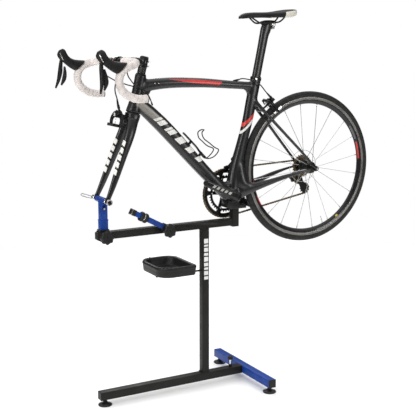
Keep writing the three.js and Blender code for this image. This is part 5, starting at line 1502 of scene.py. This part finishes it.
def build_tray():
    """Open tool tray with a broad rolled rim, on a rod from the mast."""
    low, high = node_box("tool_tray")
    floor_z, wall = TRAY_FLOOR, TRAY_WALL
    centre = Vector((low.x + TRAY_HALF_X, (low.y + high.y) / 2, floor_z))
    levels = [
        # inset from the outline, height
        (8, 0), (5.5, 0.8), (4, 3.5), (2.4, wall - 22), (1.6, wall - 14), (0.2, wall - 11), (0, wall - 6),
        (1.2, wall - 2), (4, wall), (11, wall), (14.4, wall - 1.4), (16, wall - 4), (17.5, wall - 12),
        (20, 12),
        (23, 7), (29, 4.4), (34, 4),
    ]
    rings = [tray_outline(centre + Z * height, inset, inset * 0.7) for inset, height in levels]
    make("tray_shell", "base", PLASTIC, [loft(rings)], ["tool_tray"], STAND, angle=40)
    rim = tray_outline(centre + Z * (wall - 0.4), 7, 5)
    bump = [[0, 0], [4.6, 0], [4.2, 1.4], [2.6, 2.3], [0, 2.6]]
    bumps = [lathe(bump, spot, Z, 16) for spot in rim[14:38:2]]
    make("tray_rim_bumps", "base", PLASTIC, bumps, place=STAND)
    ribs = [box(centre + Vector((x - 1.2, -44, 3.6)), centre + Vector((x + 1.2, 62, 5.2)))
            for x in range(-40, 41, 20)]
    make("tray_ribs", "base", PLASTIC, ribs, place=STAND, bevel=0.5)
    rod_z = floor_z - 13
    end = centre.x - 50
    support = [
        tube([[x, 0, rod_z] for x in (-16.5, -60, end + 20, end)], 4, 18, 3),
        rod((end, 0, rod_z - 4), (end, 0, floor_z + 1), 7, 28, 1),
    ]
    make("tray_rod", "base", BLACK_POWDER, support, place=STAND)
    nut = lathe([[0, 0], [8, 0], [8, 4.4], [7, 5.4], [0, 5.4]], (end, 0, floor_z + 3.6), Z, 6)
    make("tray_nut", "base", SILVER, [nut], place=STAND, bevel=0.4)


def build_fork_holder():
    """Axle, nut, collar and wire lever that hold the fork."""
    centre = in_stand(BIKE @ FRONT_AXLE)
    collar = box((-487, -24, 736.4), (-445, 6, 745))
    make("sleeve_collar", "beam", PLASTIC, [collar], place=STAND, bevel=1.5)
    silver = [
        lathe([[5, -48], [9, -48], [10, -47], [10, -36], [9, -34.6], [5, -34.6]], centre, Y, 32, True),
        cross_rod(centre.x, centre.z, -64, 70, 4.5),
        lathe([[0, 63.6], [9.6, 63.6], [11, 65], [11, 86], [9.6, 88], [0, 88]], centre, Y, 32),
    ]
    make("holder_axle", "beam", SILVER, silver, ["fork_skewer"], STAND)
    nut = [[0, -78], [5, -78], [9, -77], [11, -74], [11, -64], [10, -63.6], [0, -63.6]]
    make("holder_nut", "beam", BLACK_ALLOY, [lathe(nut, centre, Y, 32)], place=STAND)
    ring = [[8, -79], [12, -79], [12.6, -78], [12.6, -72], [11, -71], [8, -71]]
    make("holder_nut_ring", "beam", SILVER, [lathe(ring, centre, Y, 36, True)], place=STAND)
    dot = lathe([[0, 0], [4.2, 0], [4.2, 2], [3, 3], [0, 3]], (-464, -20.4, centre.z - 34), -Y, 24)
    make("holder_button", "beam", SILVER, [dot], place=STAND)
    eye = in_stand(pivot("fork_lever_turn"))
    bends = [
        (-3, 0, 3.4), (-22, 3, 8), (-44, 5, 16), (-53, 5, 17.5), (-55.2, 5, 13.6), (-52, 5, 9), (-44, 5, 6),
        (-22, 3, -1.4), (-3, 0, -3.4),
    ]
    wire = [eye + Vector(bend) for bend in bends]
    parts = [tube(wire, 2.1, 12, 6), rod(eye - Z * 5.6, eye + Z * 5.6, 5, 24, 0.6)]
    make("holder_lever", "fork_lever", STEEL, parts, ["fork_skewer_lever"], STAND)


# ---------------------------------------------------------------- studio stage
def light_room(tree):
    """White backdrop; the room itself is dim at eye level with a wide soft light overhead."""
    place = add_node(tree, "ShaderNodeTexCoord", {}).outputs["Generated"]
    height = add_node(tree, "ShaderNodeSeparateXYZ", {0: place}).outputs["Z"]
    fade = {"Value": height, "From Min": 0.3, "From Max": 0.85}
    fade.update({"To Min": ROOM_LIGHT, "To Max": OVERHEAD_LIGHT})
    overhead = add_node(tree, "ShaderNodeMapRange", fade, interpolation_type="SMOOTHSTEP").outputs[0]
    seen = add_node(tree, "ShaderNodeLightPath", {}).outputs["Is Camera Ray"]
    strength = add_node(tree, "ShaderNodeMix", {0: seen, 2: overhead, 3: BACKDROP_LIGHT}).outputs[0]
    background = tree.nodes["Background"]
    background.inputs["Color"].default_value = (1, 1, 1, 1)
    tree.links.new(strength, background.inputs["Strength"])


def aimed(obj, place, way):
    """Put a camera or lamp in place, looking along a direction."""
    obj.location = place
    obj.rotation_mode = "QUATERNION"
    obj.rotation_quaternion = way.to_track_quat("-Z", "Y")


def add_camera():
    camera = bpy.data.cameras.new("camera")
    camera.lens = CAMERA_LENS
    camera.sensor_width = 36
    camera.shift_x, camera.shift_y = CAMERA_SHIFT
    camera.clip_end = 100
    eye = in_scene("camera", camera)
    level = math.cos(CAMERA_DIP)
    look = Vector((math.sin(CAMERA_YAW) * level, math.cos(CAMERA_YAW) * level, -math.sin(CAMERA_DIP)))
    aimed(eye, CAMERA_PLACE, look)
    bpy.context.scene.camera = eye


def add_floor():
    mesh = bpy.data.meshes.new("floor")
    ring = [spoke(TURN * i / 64, FLOOR_RADIUS).xzy for i in range(64)]
    mesh.from_pydata(ring, [], [tuple(range(64))])
    paint = bpy.data.materials.new("floor")
    paint.use_nodes = True
    shader = paint.node_tree.nodes["Principled BSDF"]
    shader.inputs["Base Color"].default_value = (0.93, 0.93, 0.925, 1)
    shader.inputs["Roughness"].default_value = 0.9
    shader.inputs["Specular IOR Level"].default_value = 0.1
    mesh.materials.append(paint)
    in_scene("floor", mesh)


def build_stage():
    """Camera, floor, surrounding light and soft lamps."""
    add_camera()
    add_floor()
    world = bpy.data.worlds.new("studio")
    world.use_nodes = True
    light_room(world.node_tree)
    bpy.context.scene.world = world
    bpy.context.scene.view_settings.view_transform = "Standard"
    for i, (place, size, power) in enumerate(LAMPS):
        lamp = bpy.data.lights.new(f"softbox_{i}", "AREA")
        lamp.shape = "SQUARE"
        lamp.size = size
        lamp.energy = power
        aimed(in_scene(f"softbox_{i}", lamp), place, LAMP_TARGET - Vector(place))


build_stage()
build_stand()
build_feet()
build_knobs()
build_lock()
build_tray()
build_fork_holder()
build_frame()
build_fork()
build_stem()
build_handlebar()
build_cables()
build_brake("front", FRONT_BOLT, -STEER, AHEAD)
build_brake("rear", REAR_BOLT, Vector((BRIDGE_AHEAD.z, 0, -BRIDGE_AHEAD.x)), BRIDGE_AHEAD)
build_tyre_and_rim()
build_spokes()
build_cassette()
build_rear_skewer()
build_chain()
build_cranks()
build_pulleys()
build_rear_derailleur()
build_front_derailleur()
build_seatpost()
build_saddle()
build_bottle_cage()
